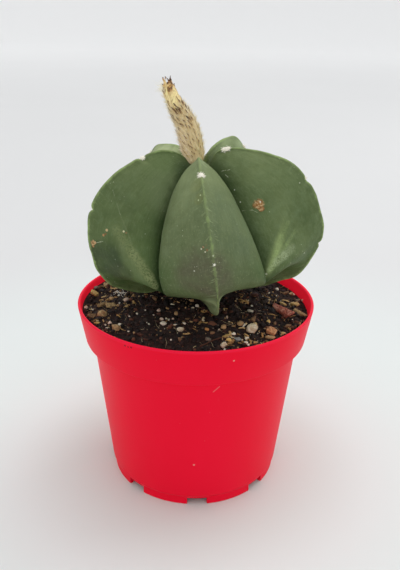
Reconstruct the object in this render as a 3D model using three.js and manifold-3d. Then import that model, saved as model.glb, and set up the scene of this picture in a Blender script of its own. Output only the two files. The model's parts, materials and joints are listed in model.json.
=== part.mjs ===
// A bishop's cap cactus with five ribs, grown in a round plastic nursery pot.
// Lengths are millimetres and angles are degrees. Z points up. The pot stands on z = 0 and its axis
// is the Z axis. A bearing is measured from the front, -Y, and grows towards the right, +X.

import Module from 'manifold-3d';
import * as THREE from 'three';
import { mergeVertices } from 'three/addons/utils/BufferGeometryUtils.js';

const wasm = await Module();
wasm.setup();

// Clearance between pieces that rest in or on each other
const GAP = 0.3;
const MERGE_DISTANCE = 1e-4;

// Pot
const POT_HEIGHT = 83.3;
const POT_SEGMENTS = 64;
const WALL = 1.3;
const RIM_RADIUS = 52.5;
const LIP_ROUNDING = 0.5;
// The lip's rounded top stands this far above the rim's widest ring
const LIP_RISE = 1;
const COLLAR_HEIGHT = 15.35;
const COLLAR_FOOT_RADIUS = 49.6;
const BODY_TOP_RADIUS = 46.4;
const BODY_FOOT_RADIUS = 39.6;
const BODY_FOOT_HEIGHT = 5.4;
const FOOT_RING_RADIUS = 38.6;
const FOOT_RING_TOP = 3.9;
const FOOT_RING_WIDTH = 1.8;
const FLOOR_UNDERSIDE = 3.4;
const FLOOR_THICKNESS = 1.5;
const DRAIN_COUNT = 8;
const DRAIN_BEARING = 2.5;
const DRAIN_WIDTH = 9;
const DRAIN_HEIGHT = 3.4;
const FLOOR_HOLE_RADIUS = 3;
const FLOOR_HOLE_PLACE = 31;
const FLOOR_HOLE_SIDES = 12;

// Soil
const SOIL_SEGMENTS = 60;
const SOIL_RINGS = 13;
const SOIL_ROUGHNESS = 0.35;
// How far up the collar's taper the soil meets the wall
const SOIL_WALL_PLACE = 0.6;
const SOIL_DROP_AT_WALL = 3.4;
const SOIL_DROP_TO_RIGHT = 1.2;
const MOUND_HEIGHT = 9.2;
const MOUND_INNER = 15;
const MOUND_OUTER = 48;
const MOUND_CURVE = 1.15;
const ROOT_HOLE_RADIUS = 13.6;
const ROOT_HOLE_DEPTH = 10;

// Plant: heights in its outlines are above the pot's rim
const PLANT_FOOT_X = 4;
const PLANT_LEAN = -0.055;
const PLANT_ROWS = 44;
const FLANK_COLUMNS = 5;
const CROWN_HEIGHT = 60.2;
const CROWN_DIMPLE = 0.8;
const ROOT_TIP_HEIGHT = -9;

// A rib's outer edge from the crown to the root: distance from the plant's axis, height
const CREST = new THREE.SplineCurve([
  [4.6, 60.9], [7, 64.6], [12.5, 67.3], [20, 68.2], [28, 66.8], [36, 63], [43, 57], [48, 48.5],
  [50.3, 38], [49, 28.5], [45.2, 20.5], [40.5, 14.5], [35.5, 10.4], [30, 8], [25.2, 7.6], [20.5, 8.2],
  [14.5, 7.6], [11.2, 4], [10.4, -1], [8, -7.6],
].map(([radius, height]) => new THREE.Vector2(radius, height)));

// The bottom of the furrow between two ribs, likewise
const FURROW = new THREE.SplineCurve([
  [4.2, 60.2], [6, 60], [9.5, 58], [13.5, 54.5], [18, 49.5], [22, 44], [26, 38.5], [30, 33],
  [33.5, 27.5], [36, 22.5], [36.6, 18], [33.5, 16], [29, 14.4], [24.5, 12.8], [20, 11.2], [16, 9.4],
  [12.4, 7.2], [11, 3.8], [10.4, -1], [8, -7.6],
].map(([radius, height]) => new THREE.Vector2(radius, height)));

// The flank between them, likewise: how full it is beside the furrow, how thin behind the edge, and
// how far its middle is tucked up
const FLANK = new THREE.CatmullRomCurve3([
  [1.2, 1, 0], [1.2, 1, 0], [1.3, 1, 0], [1.5, 0.95, 0], [1.5, 0.95, 0], [1.5, 0.95, 0],
  [1.5, 0.95, 0], [1.6, 1, 0], [1.8, 1.15, 0], [2.2, 1.4, 0.6], [2.6, 1.9, 1.8], [2.1, 2.2, 2.8],
  [1.5, 2, 3], [1.2, 1.6, 2.4], [1.1, 1.3, 1.4], [1, 1.3, 0.6], [1, 1.1, 0], [1, 1, 0], [1, 1, 0],
  [1, 1, 0],
].map(([full, thin, tuck]) => new THREE.Vector3(full, thin, tuck)), false, 'catmullrom');

// bearing: where the rib's edge starts on the crown; turn: how far it swings to the right on the way
// down; reach: its width against the common outline; swell: how much its left and right flanks belly
// out; keel: how thick and round the edge is at the beak, left and right; tuck: how far its flanks are
// tucked up; pinch: how much further beside the beak, left and right; lifts: places where the edge
// stands higher, how much, and how far that spreads; areoles: places of the wool pads along the edge,
// and their radii
const RIBS = [
  {
    bearing: -1.5, turn: 18.2, reach: 0.97, swell: [0.5, 0.22], keel: [2.2, 0.8], tuck: 0.4,
    pinch: [0, 4],
    lifts: [[0.1, -1, 0.1], [0.3, -3.2, 0.12], [0.735, -4.2, 0.055]],
    areoles: [[0.226, 1.4], [0.433, 0.6]],
  },
  {
    bearing: 79, turn: 0, reach: 1.025, swell: [0.1, 0.1], keel: [0, 0], tuck: 2.2, pinch: [0, 0],
    lifts: [
      [0.07, 1.4, 0.06], [0.285, 1.3, 0.05], [0.4, -1.1, 0.06], [0.5, 1.7, 0.05], [0.66, 2.6, 0.07],
    ],
    areoles: [[0.093, 1.5], [0.315, 0.6]],
  },
  {
    bearing: 147, turn: 0, reach: 1, swell: [0.1, 0.1], keel: [0, 0], tuck: 1, pinch: [0, 0],
    lifts: [[0.08, -0.4, 0.08], [0.225, 1.9, 0.05]],
    areoles: [[0.27, 1.1], [0.4, 0.7]],
  },
  {
    bearing: 212, turn: 0, reach: 1.03, swell: [0.1, 0.1], keel: [0, 0], tuck: 1, pinch: [0, 0],
    lifts: [[0.16, -2.7, 0.12], [0.3, 0.8, 0.07]],
    areoles: [[0.3, 1.1], [0.42, 0.7]],
  },
  {
    bearing: 296, turn: 0, reach: 1.005, swell: [0.1, 0.1], keel: [0, 0], tuck: 2.2, pinch: [0, 0],
    lifts: [[0.22, -2, 0.06], [0.3, -1.5, 0.06], [0.38, -1, 0.06], [0.52, -4, 0.08]],
    areoles: [[0.185, 1.3], [0.368, 0.6]],
  },
];
// The furrow to the right of each rib: its bearing and turn, and how much higher its lower end lies
const FURROWS = [
  { bearing: 42, turn: -3.1, lift: 1 },
  { bearing: 113, turn: 0, lift: 0 },
  { bearing: 180, turn: 0, lift: 0 },
  { bearing: 256, turn: 0, lift: 0 },
  { bearing: 327.2, turn: 19.5, lift: -2 },
];
// How much later than evenly a rib or furrow turns on its way down
const TURN_POWER = 1.2;
// Places along an outline, and how far what lies there spreads
const FURROW_END_AT = 0.52;
const FURROW_END_SPREAD = 0.12;
const KEEL_AT = 0.735;
const KEEL_SPREAD = 0.045;
const PINCH_AT = 0.68;
const PINCH_SPREAD = 0.12;
// How much nearer the edge than the furrow a pinch lies
const PINCH_POWER = 1.5;
const SWELL_END = 0.56;
// The distance from the axis from which a rib's reach counts in full
const REACH_RADIUS = 20;
const AREOLE_SINK = 0.35;

// Dried flower: its centre line above the rim, and its radius along it
const FLOWER_SIDES = 12;
const FLOWER_RINGS = 14;
const FLOWER_LINE = new THREE.CatmullRomCurve3([
  [-0.5, 0.8, CROWN_HEIGHT + CROWN_DIMPLE + GAP], [-1.5, 1, 66.5], [-3.9, 1.2, 74.9], [-7.4, 1.4, 82.5],
  [-10.2, 1.6, 88.4], [-12.1, 1.7, 92],
].map(([x, y, height]) => new THREE.Vector3(x, y, height + POT_HEIGHT)));
const FLOWER_RADII = new THREE.SplineCurve([
  [0, 2.5], [0.2, 4.2], [0.4, 4.1], [0.6, 3.6], [0.8, 2.6], [1, 1.5],
].map(([along, radius]) => new THREE.Vector2(along, radius)));
const SCALE_COUNT = 54;
const SCALE_LENGTH = 4.4;
const SCALE_RADIUS = 0.55;
const SCALE_TURN = 137.5;
const SCALE_LIFT = 0.16;
const SCALES_FROM = 0.12;
const SCALES_TO = 0.9;
const PETAL_COUNT = 6;
const PETAL_LENGTH = 6.5;
const PETAL_RADIUS = 0.8;
const PETAL_BEARING = 20;
const PETAL_SPREAD = 0.25;
const PETALS_AT = 0.93;

// Loose pieces on the soil: name, place across and away from the viewer, the three sizes, turn, and
// how far the far side is raised
const PEBBLES = [
  ['pebble_large', 22.9, -29.1, 5.3, 5, 4.2, 20, 0],
  ['pebble_square', 11.3, -41, 2.9, 2.8, 2.4, 10, 0],
  ['pebble_tan', -32.4, -28.8, 3.6, 4, 2.8, 50, 0],
  ['pebble_flat', -39.8, -16.4, 4.4, 4.2, 3, 0, 0],
  ['pebble_grey', 16.8, -36.4, 3.4, 2.4, 2, 15, 0],
  ['pebble_pale', -6, -33.1, 3.4, 2.7, 2.2, 25, 0],
  ['pebble_yellow', 45, 1.4, 4.4, 2.6, 1.8, -42, 15],
  ['pebble_seed', 39.2, -1.5, 4, 1.4, 1.5, -40, 25],
  ['pebble_wall', 45.2, 15.3, 3, 2.1, 1.7, 65, 0],
  ['pebble_back_1', 24, 38, 3.6, 2.9, 2.2, 0, 0],
  ['pebble_back_2', -12, 42, 4.2, 3.2, 2.4, 70, 0],
  ['pebble_back_3', -33, 29, 3, 2.6, 2, 30, 0],
];
const CHIPS = [
  ['bark_red', 37.6, -11.2, 11.8, 4.4, 1.8, -57, 20],
  ['bark_orange', 30.9, -28.2, 5.8, 3.4, 1.6, -44, 28],
  ['wood_chip_long', -36.6, -11.2, 5.6, 3, 1.4, 9, 22],
  ['wood_chip_short', -40.8, -8.2, 5.1, 1.6, 1.2, 38, 25],
  ['wood_chip_wall', 45.4, -7.4, 7.6, 2.4, 1.5, -45, 15],
  ['chip_brown', -44.6, -16.8, 4, 2.8, 1.3, -4, 22],
  ['chip_yellow', 12.6, -35.4, 4.4, 1.8, 1.2, 38, 15],
  ['chip_amber', -46.8, 6.6, 4.4, 2.6, 1.4, -24, 18],
  ['bark_back', 5, 36, 7, 4, 1.6, 20, 0],
  ['chip_back', -43, 18, 4.4, 2.2, 1.3, 100, 0],
];
const PEBBLE_SUNK = 0.2;
const CHIP_SUNK = 0.15;
// The share of a leaned piece's depth that stays out of the soil at its near edge
const LEAN_RISE = 0.6;
const DIMPLE_MARGIN = 0.48;
const PEBBLE_JITTER = 0.07;
const CHIP_JITTER = 0.12;
const CHIP_SIDES = 7;
const CHIP_UNDERSIDE = 0.42;

const COLOURS = {
  pot: [0xd81530, 0.42],
  soil: [0x33231a, 0.95],
  cactus: [0x5f7a48, 0.55],
  dried_flower: [0xb79c6c, 0.85],
  pebble: [0xcbb894, 0.7],
  chip: [0x96633f, 0.8],
};

const radians = THREE.MathUtils.degToRad;

/** A repeatable stream of numbers from 0 to 1. */
function seededRandom(seed) {
  let state = seed;
  return () => {
    state = (state * 1664525 + 1013904223) % 4294967296;
    return state / 4294967296;
  };
}

/** The horizontal unit vector at a bearing. */
function direction(bearing) {
  return new THREE.Vector3(Math.sin(radians(bearing)), -Math.cos(radians(bearing)), 0);
}

/**
 * A closed surface through rings listed from the top outwards and down; single points close its ends.
 * Each field between two rings is split along its shorter diagonal.
 */
function ringGeometry(rings) {
  const positions = [];
  const triangles = [];
  const starts = rings.map((ring) => {
    const start = positions.length / 3;
    ring.forEach((point) => positions.push(point.x, point.y, point.z));
    return start;
  });
  const columns = Math.max(...rings.map((ring) => ring.length));
  const corner = (row, column) => starts[row] + (column % rings[row].length);
  const pointAt = (row, column) => rings[row][column % rings[row].length];
  for (let row = 0; row + 1 < rings.length; row += 1) {
    for (let column = 0; column < columns; column += 1) {
      const a = corner(row, column);
      const b = corner(row, column + 1);
      const c = corner(row + 1, column);
      const d = corner(row + 1, column + 1);
      if (a === b) {
        triangles.push(a, c, d);
      } else if (c === d) {
        triangles.push(a, c, b);
      } else if (pointAt(row, column).distanceTo(pointAt(row + 1, column + 1))
          < pointAt(row, column + 1).distanceTo(pointAt(row + 1, column))) {
        triangles.push(a, c, d, a, d, b);
      } else {
        triangles.push(a, c, b, b, c, d);
      }
    }
  }
  const geometry = new THREE.BufferGeometry();
  geometry.setAttribute('position', new THREE.Float32BufferAttribute(positions, 3));
  geometry.setIndex(triangles);
  return geometry;
}

/** Hands a closed geometry over for joining and cutting. */
function toSolid(geometry) {
  const bare = geometry.clone();
  bare.deleteAttribute('normal');
  bare.deleteAttribute('uv');
  const merged = mergeVertices(bare, MERGE_DISTANCE);
  const index = merged.index.array;
  const triangles = [];
  for (let i = 0; i < index.length; i += 3) {
    const [a, b, c] = [index[i], index[i + 1], index[i + 2]];
    if (a !== b && b !== c && c !== a) triangles.push(a, b, c);
  }
  return new wasm.Manifold(new wasm.Mesh({
    numProp: 3,
    vertProperties: new Float32Array(merged.attributes.position.array),
    triVerts: new Uint32Array(triangles),
  }));
}

/** Turns a joined or cut solid back into a geometry. */
function toGeometry(solid) {
  const mesh = solid.getMesh();
  const geometry = new THREE.BufferGeometry();
  geometry.setAttribute('position', new THREE.BufferAttribute(new Float32Array(mesh.vertProperties), 3));
  geometry.setIndex(new THREE.BufferAttribute(new Uint32Array(mesh.triVerts), 1));
  return geometry;
}

function namedMesh(name, geometry, [color, roughness]) {
  const material = new THREE.MeshStandardMaterial({ color, roughness, metalness: 0 });
  const mesh = new THREE.Mesh(geometry, material);
  mesh.name = name;
  return mesh;
}

/** The moulded shell, revolved, with notches through its foot ring and drain holes in its floor. */
function pot() {
  const collarBottom = POT_HEIGHT - COLLAR_HEIGHT;
  const outline = [
    [0, FLOOR_UNDERSIDE],
    [FOOT_RING_RADIUS - FOOT_RING_WIDTH, FLOOR_UNDERSIDE],
    [FOOT_RING_RADIUS - FOOT_RING_WIDTH, 0],
    [FOOT_RING_RADIUS - LIP_ROUNDING, 0],
    [FOOT_RING_RADIUS, LIP_ROUNDING],
    [FOOT_RING_RADIUS, FOOT_RING_TOP],
    [BODY_FOOT_RADIUS, BODY_FOOT_HEIGHT],
    [BODY_TOP_RADIUS, collarBottom],
    [COLLAR_FOOT_RADIUS - LIP_ROUNDING, collarBottom],
    [COLLAR_FOOT_RADIUS, collarBottom + LIP_ROUNDING],
    [RIM_RADIUS, POT_HEIGHT - LIP_ROUNDING],
    [RIM_RADIUS - LIP_ROUNDING / 2, POT_HEIGHT + LIP_RISE - LIP_ROUNDING],
    [RIM_RADIUS - WALL / 2, POT_HEIGHT + LIP_RISE],
    [RIM_RADIUS - WALL, POT_HEIGHT + LIP_RISE - LIP_ROUNDING],
    [COLLAR_FOOT_RADIUS - WALL, collarBottom + WALL],
    [BODY_TOP_RADIUS - WALL, collarBottom + WALL / 2],
    [BODY_FOOT_RADIUS - WALL, FLOOR_UNDERSIDE + FLOOR_THICKNESS],
    [0, FLOOR_UNDERSIDE + FLOOR_THICKNESS],
  ].map(([radius, height]) => new THREE.Vector2(radius, height));
  let solid = toSolid(new THREE.LatheGeometry(outline, POT_SEGMENTS).rotateX(Math.PI / 2));
  for (let i = 0; i < DRAIN_COUNT; i += 1) {
    const bearing = DRAIN_BEARING + (360 / DRAIN_COUNT) * i;
    const place = direction(bearing).multiplyScalar(FOOT_RING_RADIUS);
    const notch = new THREE.BoxGeometry(DRAIN_WIDTH, 4 * FOOT_RING_WIDTH, 2 * DRAIN_HEIGHT)
      .rotateZ(radians(bearing))
      .translate(place.x, place.y, 0);
    const hole = new THREE.CylinderGeometry(
      FLOOR_HOLE_RADIUS,
      FLOOR_HOLE_RADIUS,
      4 * FLOOR_THICKNESS,
      FLOOR_HOLE_SIDES,
    )
      .rotateX(Math.PI / 2)
      .translate(0, -FLOOR_HOLE_PLACE, FLOOR_UNDERSIDE + FLOOR_THICKNESS / 2)
      .rotateZ(radians(bearing));
    solid = solid.subtract(toSolid(notch)).subtract(toSolid(hole));
  }
  return namedMesh('pot', toGeometry(solid), COLOURS.pot);
}

/** Height of the soil's smooth surface: a mound that falls from the root neck to the pot's wall. */
function soilHeight(x, y) {
  const radius = Math.hypot(x, y);
  const outward = THREE.MathUtils.clamp((radius - MOUND_INNER) / (MOUND_OUTER - MOUND_INNER), 0, 1);
  const atWall = POT_HEIGHT - SOIL_DROP_AT_WALL - SOIL_DROP_TO_RIGHT * (x / Math.max(radius, MOUND_INNER));
  return atWall + MOUND_HEIGHT * (1 - outward) ** MOUND_CURVE;
}

/** A bumpy rounded stone, or with `flat` a chip with broad faces, centred on the origin. */
function stoneGeometry([length, width, height], flat, seed) {
  const random = seededRandom(seed);
  const jitter = flat ? CHIP_JITTER : PEBBLE_JITTER;
  const shape = flat
    ? new THREE.CylinderGeometry(0.5, CHIP_UNDERSIDE, 1, CHIP_SIDES)
    : new THREE.IcosahedronGeometry(0.5, 1);
  shape.rotateX(flat ? Math.PI / 2 : 0);
  shape.deleteAttribute('normal');
  shape.deleteAttribute('uv');
  const geometry = mergeVertices(shape, MERGE_DISTANCE);
  const position = geometry.attributes.position;
  for (let i = 0; i < position.count; i += 1) {
    const grow = 1 + jitter * (2 * random() - 1);
    position.setXYZ(
      i,
      position.getX(i) * length * grow,
      position.getY(i) * width * grow,
      position.getZ(i) * height,
    );
  }
  return geometry;
}

/** Puts a stone or chip on the mound: turned, its far side raised, then leaned with the slope. */
function layOnSoil(geometry, [x, y, height, turn, lean, rise], sunk) {
  const slope = new THREE.Vector3(
    soilHeight(x - 1, y) - soilHeight(x + 1, y),
    soilHeight(x, y - 1) - soilHeight(x, y + 1),
    2,
  ).normalize();
  const tilt = new THREE.Quaternion().setFromUnitVectors(new THREE.Vector3(0, 0, 1), slope);
  return geometry
    .rotateZ(radians(turn))
    .rotateX(radians(lean))
    .applyQuaternion(tilt)
    .translate(x, y, soilHeight(x, y) + height * (0.5 - sunk) + rise);
}

/** The loose pieces: each with its mesh and the slightly larger shape that it presses into the soil. */
function loosePieces() {
  const lay = (flat, sunk, colour) => ([name, x, y, length, width, height, turn, lean], i) => {
    const seed = 11 + 7 * i;
    const across = Math.abs(Math.cos(radians(turn)));
    const depth = (length * Math.sqrt(1 - across ** 2) + width * across) / 2;
    const rise = LEAN_RISE * depth * Math.sin(radians(lean));
    const place = [x, y, height, turn, lean, rise];
    const sizes = [length, width, height];
    const grown = sizes.map((size) => size + 2 * DIMPLE_MARGIN);
    const geometry = layOnSoil(stoneGeometry(sizes, flat, seed), place, sunk);
    return {
      mesh: namedMesh(name, geometry, colour),
      dimple: toSolid(layOnSoil(stoneGeometry(grown, flat, seed), place, sunk * (height / grown[2]))),
    };
  };
  return [
    ...PEBBLES.map(lay(false, PEBBLE_SUNK, COLOURS.pebble)),
    ...CHIPS.map(lay(true, CHIP_SUNK, COLOURS.chip)),
  ];
}

/** The potting mix: it fills the pot, with a crumbly mounded top, a root hole and the stones' dimples. */
function soil(dimples) {
  const random = seededRandom(3);
  const bearings = Array.from({ length: SOIL_SEGMENTS }, (_, i) => (360 / SOIL_SEGMENTS) * i);
  const circle = (radius, height, centreX = 0) => bearings.map((bearing) => {
    const out = direction(bearing).multiplyScalar(radius);
    return new THREE.Vector3(out.x + centreX, out.y, height);
  });
  const wallRadius = COLLAR_FOOT_RADIUS + (RIM_RADIUS - COLLAR_FOOT_RADIUS) * SOIL_WALL_PLACE
    - WALL - GAP;
  const ledge = POT_HEIGHT - COLLAR_HEIGHT + WALL + GAP;
  const floor = FLOOR_UNDERSIDE + FLOOR_THICKNESS + GAP;
  const rings = [
    [new THREE.Vector3(PLANT_FOOT_X, 0, POT_HEIGHT - ROOT_HOLE_DEPTH)],
    circle(ROOT_HOLE_RADIUS - 1, POT_HEIGHT - ROOT_HOLE_DEPTH, PLANT_FOOT_X),
  ];
  for (let i = 0; i <= SOIL_RINGS; i += 1) {
    const outward = i / SOIL_RINGS;
    rings.push(bearings.map((bearing) => {
      const out = direction(bearing);
      const inner = new THREE.Vector3(PLANT_FOOT_X, 0, 0).addScaledVector(out, ROOT_HOLE_RADIUS);
      const point = inner.lerp(out.multiplyScalar(wallRadius), outward);
      const crumb = i < SOIL_RINGS ? SOIL_ROUGHNESS * (2 * random() - 1) : 0;
      return point.setZ(soilHeight(point.x, point.y) + crumb);
    }));
  }
  rings.push(
    circle(COLLAR_FOOT_RADIUS - WALL - GAP, ledge),
    circle(BODY_TOP_RADIUS - WALL - GAP, ledge - GAP),
    circle(BODY_FOOT_RADIUS - WALL - GAP, floor),
    [new THREE.Vector3(0, 0, floor)],
  );
  const solid = dimples.reduce((rest, dimple) => rest.subtract(dimple), toSolid(ringGeometry(rings)));
  return namedMesh('soil', toGeometry(solid), COLOURS.soil);
}

/** A smooth hump of height 1 round a place. */
function hump(along, place, spread) {
  return Math.exp(-(((along - place) / spread) ** 2));
}

/** Where a rib or furrow points, at a place from 0 at the crown to 1 at the root. */
function bearingOf(line, along) {
  return line.bearing + line.turn * along ** TURN_POWER;
}

/** The outer edge of a rib, likewise. */
function crestPoint(rib, along) {
  const { x: radius, y: height } = CREST.getPoint(along);
  const grown = radius * (1 + (rib.reach - 1) * Math.min(radius / REACH_RADIUS, 1));
  const raised = rib.lifts.reduce(
    (total, [place, lift, spread]) => total + lift * hump(along, place, spread),
    height,
  );
  return direction(bearingOf(rib, along)).multiplyScalar(grown).setZ(raised);
}

/** The bottom of a furrow, likewise. */
function furrowPoint(furrow, along) {
  const { x: radius, y: height } = FURROW.getPoint(along);
  return direction(bearingOf(furrow, along)).multiplyScalar(radius)
    .setZ(height + furrow.lift * hump(along, FURROW_END_AT, FURROW_END_SPREAD));
}

/** A point of a rib's flank, left 0 or right 1: `across` runs from 0 in the furrow to 1 on the edge. */
function flankPoint(rib, flank, furrow, along, across) {
  const edge = crestPoint(rib, along);
  const low = furrowPoint(furrow, along);
  const { x: full, y: thin, z: tuck } = FLANK.getPoint(along);
  const sideways = direction(bearingOf(rib, along) + 90);
  const width = low.dot(sideways);
  const belly = Math.sin(Math.PI * Math.min(along / SWELL_END, 1));
  const swollen = 1 + rib.swell[flank] * 4 * across * (1 - across) * belly;
  const kept = Math.abs(width) * (1 - across ** full) ** thin * swollen;
  const inPlane = low.addScaledVector(sideways, -width);
  const keel = rib.keel[flank] * hump(along, KEEL_AT, KEEL_SPREAD);
  const inward = Math.min((edge.distanceTo(inPlane) * (1 - across)) / Math.max(keel, GAP), 1);
  const bead = keel * Math.sqrt(1 - (1 - inward) ** 2);
  const point = inPlane.lerp(edge, across)
    .addScaledVector(sideways, Math.sign(width) * Math.cbrt(kept ** 3 + bead ** 3));
  const pinch = rib.pinch[flank] * hump(along, PINCH_AT, PINCH_SPREAD);
  const tucked = rib.tuck * tuck * Math.sin(Math.PI * across);
  return point.setZ(point.z + tucked + pinch * Math.sin(Math.PI * across ** PINCH_POWER));
}

/** Moves a point from the plant's own axis to its place in the pot, which leans a little to the left. */
function plantPlace(point) {
  return point.set(point.x + PLANT_FOOT_X + PLANT_LEAN * point.z, point.y, point.z + POT_HEIGHT);
}

/** One body: ribs and furrows from the crown to the root neck, with the wool pads on the ribs' edges. */
function cactus() {
  const rings = [[plantPlace(new THREE.Vector3(0, 0, CROWN_HEIGHT - CROWN_DIMPLE))]];
  for (let row = 0; row < PLANT_ROWS; row += 1) {
    const along = row / (PLANT_ROWS - 1);
    const ring = [];
    RIBS.forEach((rib, i) => {
      const left = FURROWS[(i + RIBS.length - 1) % RIBS.length];
      const right = FURROWS[i];
      for (let column = 0; column < FLANK_COLUMNS; column += 1) {
        ring.push(flankPoint(rib, 0, left, along, column / FLANK_COLUMNS));
      }
      for (let column = FLANK_COLUMNS; column > 0; column -= 1) {
        ring.push(flankPoint(rib, 1, right, along, column / FLANK_COLUMNS));
      }
    });
    rings.push(ring.map(plantPlace));
  }
  rings.push([plantPlace(new THREE.Vector3(0, 0, ROOT_TIP_HEIGHT))]);
  let solid = toSolid(ringGeometry(rings));
  RIBS.forEach((rib) => rib.areoles.forEach(([along, radius]) => {
    const centre = plantPlace(crestPoint(rib, along));
    const pad = new THREE.IcosahedronGeometry(radius, 1).translate(
      centre.x - direction(rib.bearing).x * AREOLE_SINK * radius,
      centre.y - direction(rib.bearing).y * AREOLE_SINK * radius,
      centre.z - AREOLE_SINK * radius,
    );
    solid = solid.add(toSolid(pad));
  }));
  return namedMesh('cactus', toGeometry(solid), COLOURS.cactus);
}

/** A slim four-sided spike whose root lies at `root` and that points along `aim`. */
function spike(root, aim, length, radius) {
  const upright = new THREE.Vector3(0, 1, 0);
  const turn = new THREE.Quaternion().setFromUnitVectors(upright, aim.clone().normalize());
  return toSolid(new THREE.ConeGeometry(radius, length, 4)
    .translate(0, length / 2, 0)
    .applyQuaternion(turn)
    .translate(root.x, root.y, root.z));
}

/** The withered flower: a curved woolly tube with pointed scales in spiral rows and a split tip. */
function driedFlower() {
  const random = seededRandom(8);
  const frame = (along) => {
    const centre = FLOWER_LINE.getPoint(along);
    const ahead = FLOWER_LINE.getTangent(along);
    const right = new THREE.Vector3(0, 1, 0).cross(ahead).normalize();
    const away = ahead.clone().cross(right);
    return { centre, ahead, right, away, radius: FLOWER_RADII.getPoint(along).y };
  };
  const outward = ({ right, away }, angle) => right.clone().multiplyScalar(Math.cos(radians(angle)))
    .addScaledVector(away, Math.sin(radians(angle)));
  const rings = [];
  for (let i = 0; i <= FLOWER_RINGS; i += 1) {
    const place = frame(1 - i / FLOWER_RINGS);
    rings.push(Array.from({ length: FLOWER_SIDES }, (_, j) => place.centre.clone()
      .addScaledVector(outward(place, (360 / FLOWER_SIDES) * j), place.radius)));
  }
  rings.unshift([frame(1).centre]);
  rings.push([frame(0).centre]);
  let solid = toSolid(ringGeometry(rings));
  for (let i = 0; i < SCALE_COUNT; i += 1) {
    const place = frame(SCALES_FROM + (SCALES_TO - SCALES_FROM) * (i / SCALE_COUNT));
    const out = outward(place, SCALE_TURN * i);
    const root = place.centre.clone().addScaledVector(out, place.radius - SCALE_RADIUS);
    const aim = place.ahead.clone().addScaledVector(out, SCALE_LIFT * (0.6 + 0.8 * random()));
    solid = solid.add(spike(root, aim, SCALE_LENGTH, SCALE_RADIUS));
  }
  const tip = frame(PETALS_AT);
  for (let i = 0; i < PETAL_COUNT; i += 1) {
    const out = outward(tip, (360 / PETAL_COUNT) * i + PETAL_BEARING);
    const root = tip.centre.clone().addScaledVector(out, tip.radius - PETAL_RADIUS);
    const aim = tip.ahead.clone().addScaledVector(out, PETAL_SPREAD * random());
    solid = solid.add(spike(root, aim, PETAL_LENGTH * (0.7 + 0.3 * random()), PETAL_RADIUS));
  }
  return namedMesh('dried_flower', toGeometry(solid), COLOURS.dried_flower);
}

const pieces = loosePieces();
const part = new THREE.Group();
part.add(
  pot(),
  soil(pieces.map((piece) => piece.dimple)),
  cactus(),
  driedFlower(),
  ...pieces.map((piece) => piece.mesh),
);

export default part;
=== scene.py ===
"""A five-ribbed bishop's cap in its nursery pot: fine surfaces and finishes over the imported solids.

Lengths in the tables are millimetres. The plant's outlines are heights above the pot's rim. A bearing
is measured in degrees from the front, -Y, and grows towards the right, +X.
"""

import json

import bpy
import numpy as np
from mathutils import Matrix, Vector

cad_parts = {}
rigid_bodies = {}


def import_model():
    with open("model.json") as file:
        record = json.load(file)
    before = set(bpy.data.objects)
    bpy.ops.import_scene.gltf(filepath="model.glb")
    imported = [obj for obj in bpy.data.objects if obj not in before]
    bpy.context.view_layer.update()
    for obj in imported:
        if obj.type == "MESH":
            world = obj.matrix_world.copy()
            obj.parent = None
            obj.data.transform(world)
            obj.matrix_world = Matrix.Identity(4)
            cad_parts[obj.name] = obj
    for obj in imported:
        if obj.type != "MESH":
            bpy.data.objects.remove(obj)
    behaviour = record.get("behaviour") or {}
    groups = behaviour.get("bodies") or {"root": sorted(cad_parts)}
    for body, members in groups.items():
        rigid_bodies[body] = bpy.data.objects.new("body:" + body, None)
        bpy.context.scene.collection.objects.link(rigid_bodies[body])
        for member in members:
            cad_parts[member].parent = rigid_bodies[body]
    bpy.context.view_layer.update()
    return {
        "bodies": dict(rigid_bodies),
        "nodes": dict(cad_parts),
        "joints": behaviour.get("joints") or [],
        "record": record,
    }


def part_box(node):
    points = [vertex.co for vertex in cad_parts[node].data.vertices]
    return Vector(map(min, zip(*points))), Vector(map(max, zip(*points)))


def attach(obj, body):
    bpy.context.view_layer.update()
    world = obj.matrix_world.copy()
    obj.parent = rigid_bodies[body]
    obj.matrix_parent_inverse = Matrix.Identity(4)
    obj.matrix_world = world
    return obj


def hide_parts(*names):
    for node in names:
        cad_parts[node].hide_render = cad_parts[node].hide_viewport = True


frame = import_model()

MM = 0.001

# Pot
POT_HEIGHT = 83.3
WALL = 1.3
RIM_RADIUS = 52.5
LIP_RISE = 1
COLLAR_HEIGHT = 15.35
COLLAR_FOOT_RADIUS = 49.6
BODY_TOP_RADIUS = 46.4
BODY_FOOT_RADIUS = 39.6
BODY_FOOT_HEIGHT = 5.4
FOOT_RING_RADIUS = 38.6
FOOT_RING_TOP = 3.9
FOOT_RING_WIDTH = 1.8
FLOOR_UNDERSIDE = 3.4
FLOOR_THICKNESS = 1.5
DRAIN_COUNT = 8
DRAIN_BEARING = 2.5
DRAIN_WIDTH = 9
FLOOR_HOLE_RADIUS = 3
FLOOR_HOLE_PLACE = 31

# Soil
SOIL_DROP_AT_WALL = 3.4
SOIL_DROP_TO_RIGHT = 1.2
MOUND_HEIGHT = 9.2
MOUND_INNER = 15
MOUND_OUTER = 48
MOUND_CURVE = 1.15

# Plant
PLANT_FOOT_X = 4
PLANT_LEAN = -0.055
CROWN_HEIGHT = 60.2
CROWN_DIMPLE = 0.8
ROOT_TIP_HEIGHT = -9

# A rib's outer edge from the crown to the root: distance from the plant's axis, height
CREST = [
    (4.6, 60.9), (7, 64.6), (12.5, 67.3), (20, 68.2), (28, 66.8), (36, 63), (43, 57), (48, 48.5),
    (50.3, 38), (49, 28.5), (45.2, 20.5), (40.5, 14.5), (35.5, 10.4), (30, 8), (25.2, 7.6),
    (20.5, 8.2), (14.5, 7.6), (11.2, 4), (10.4, -1), (8, -7.6),
]
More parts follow.
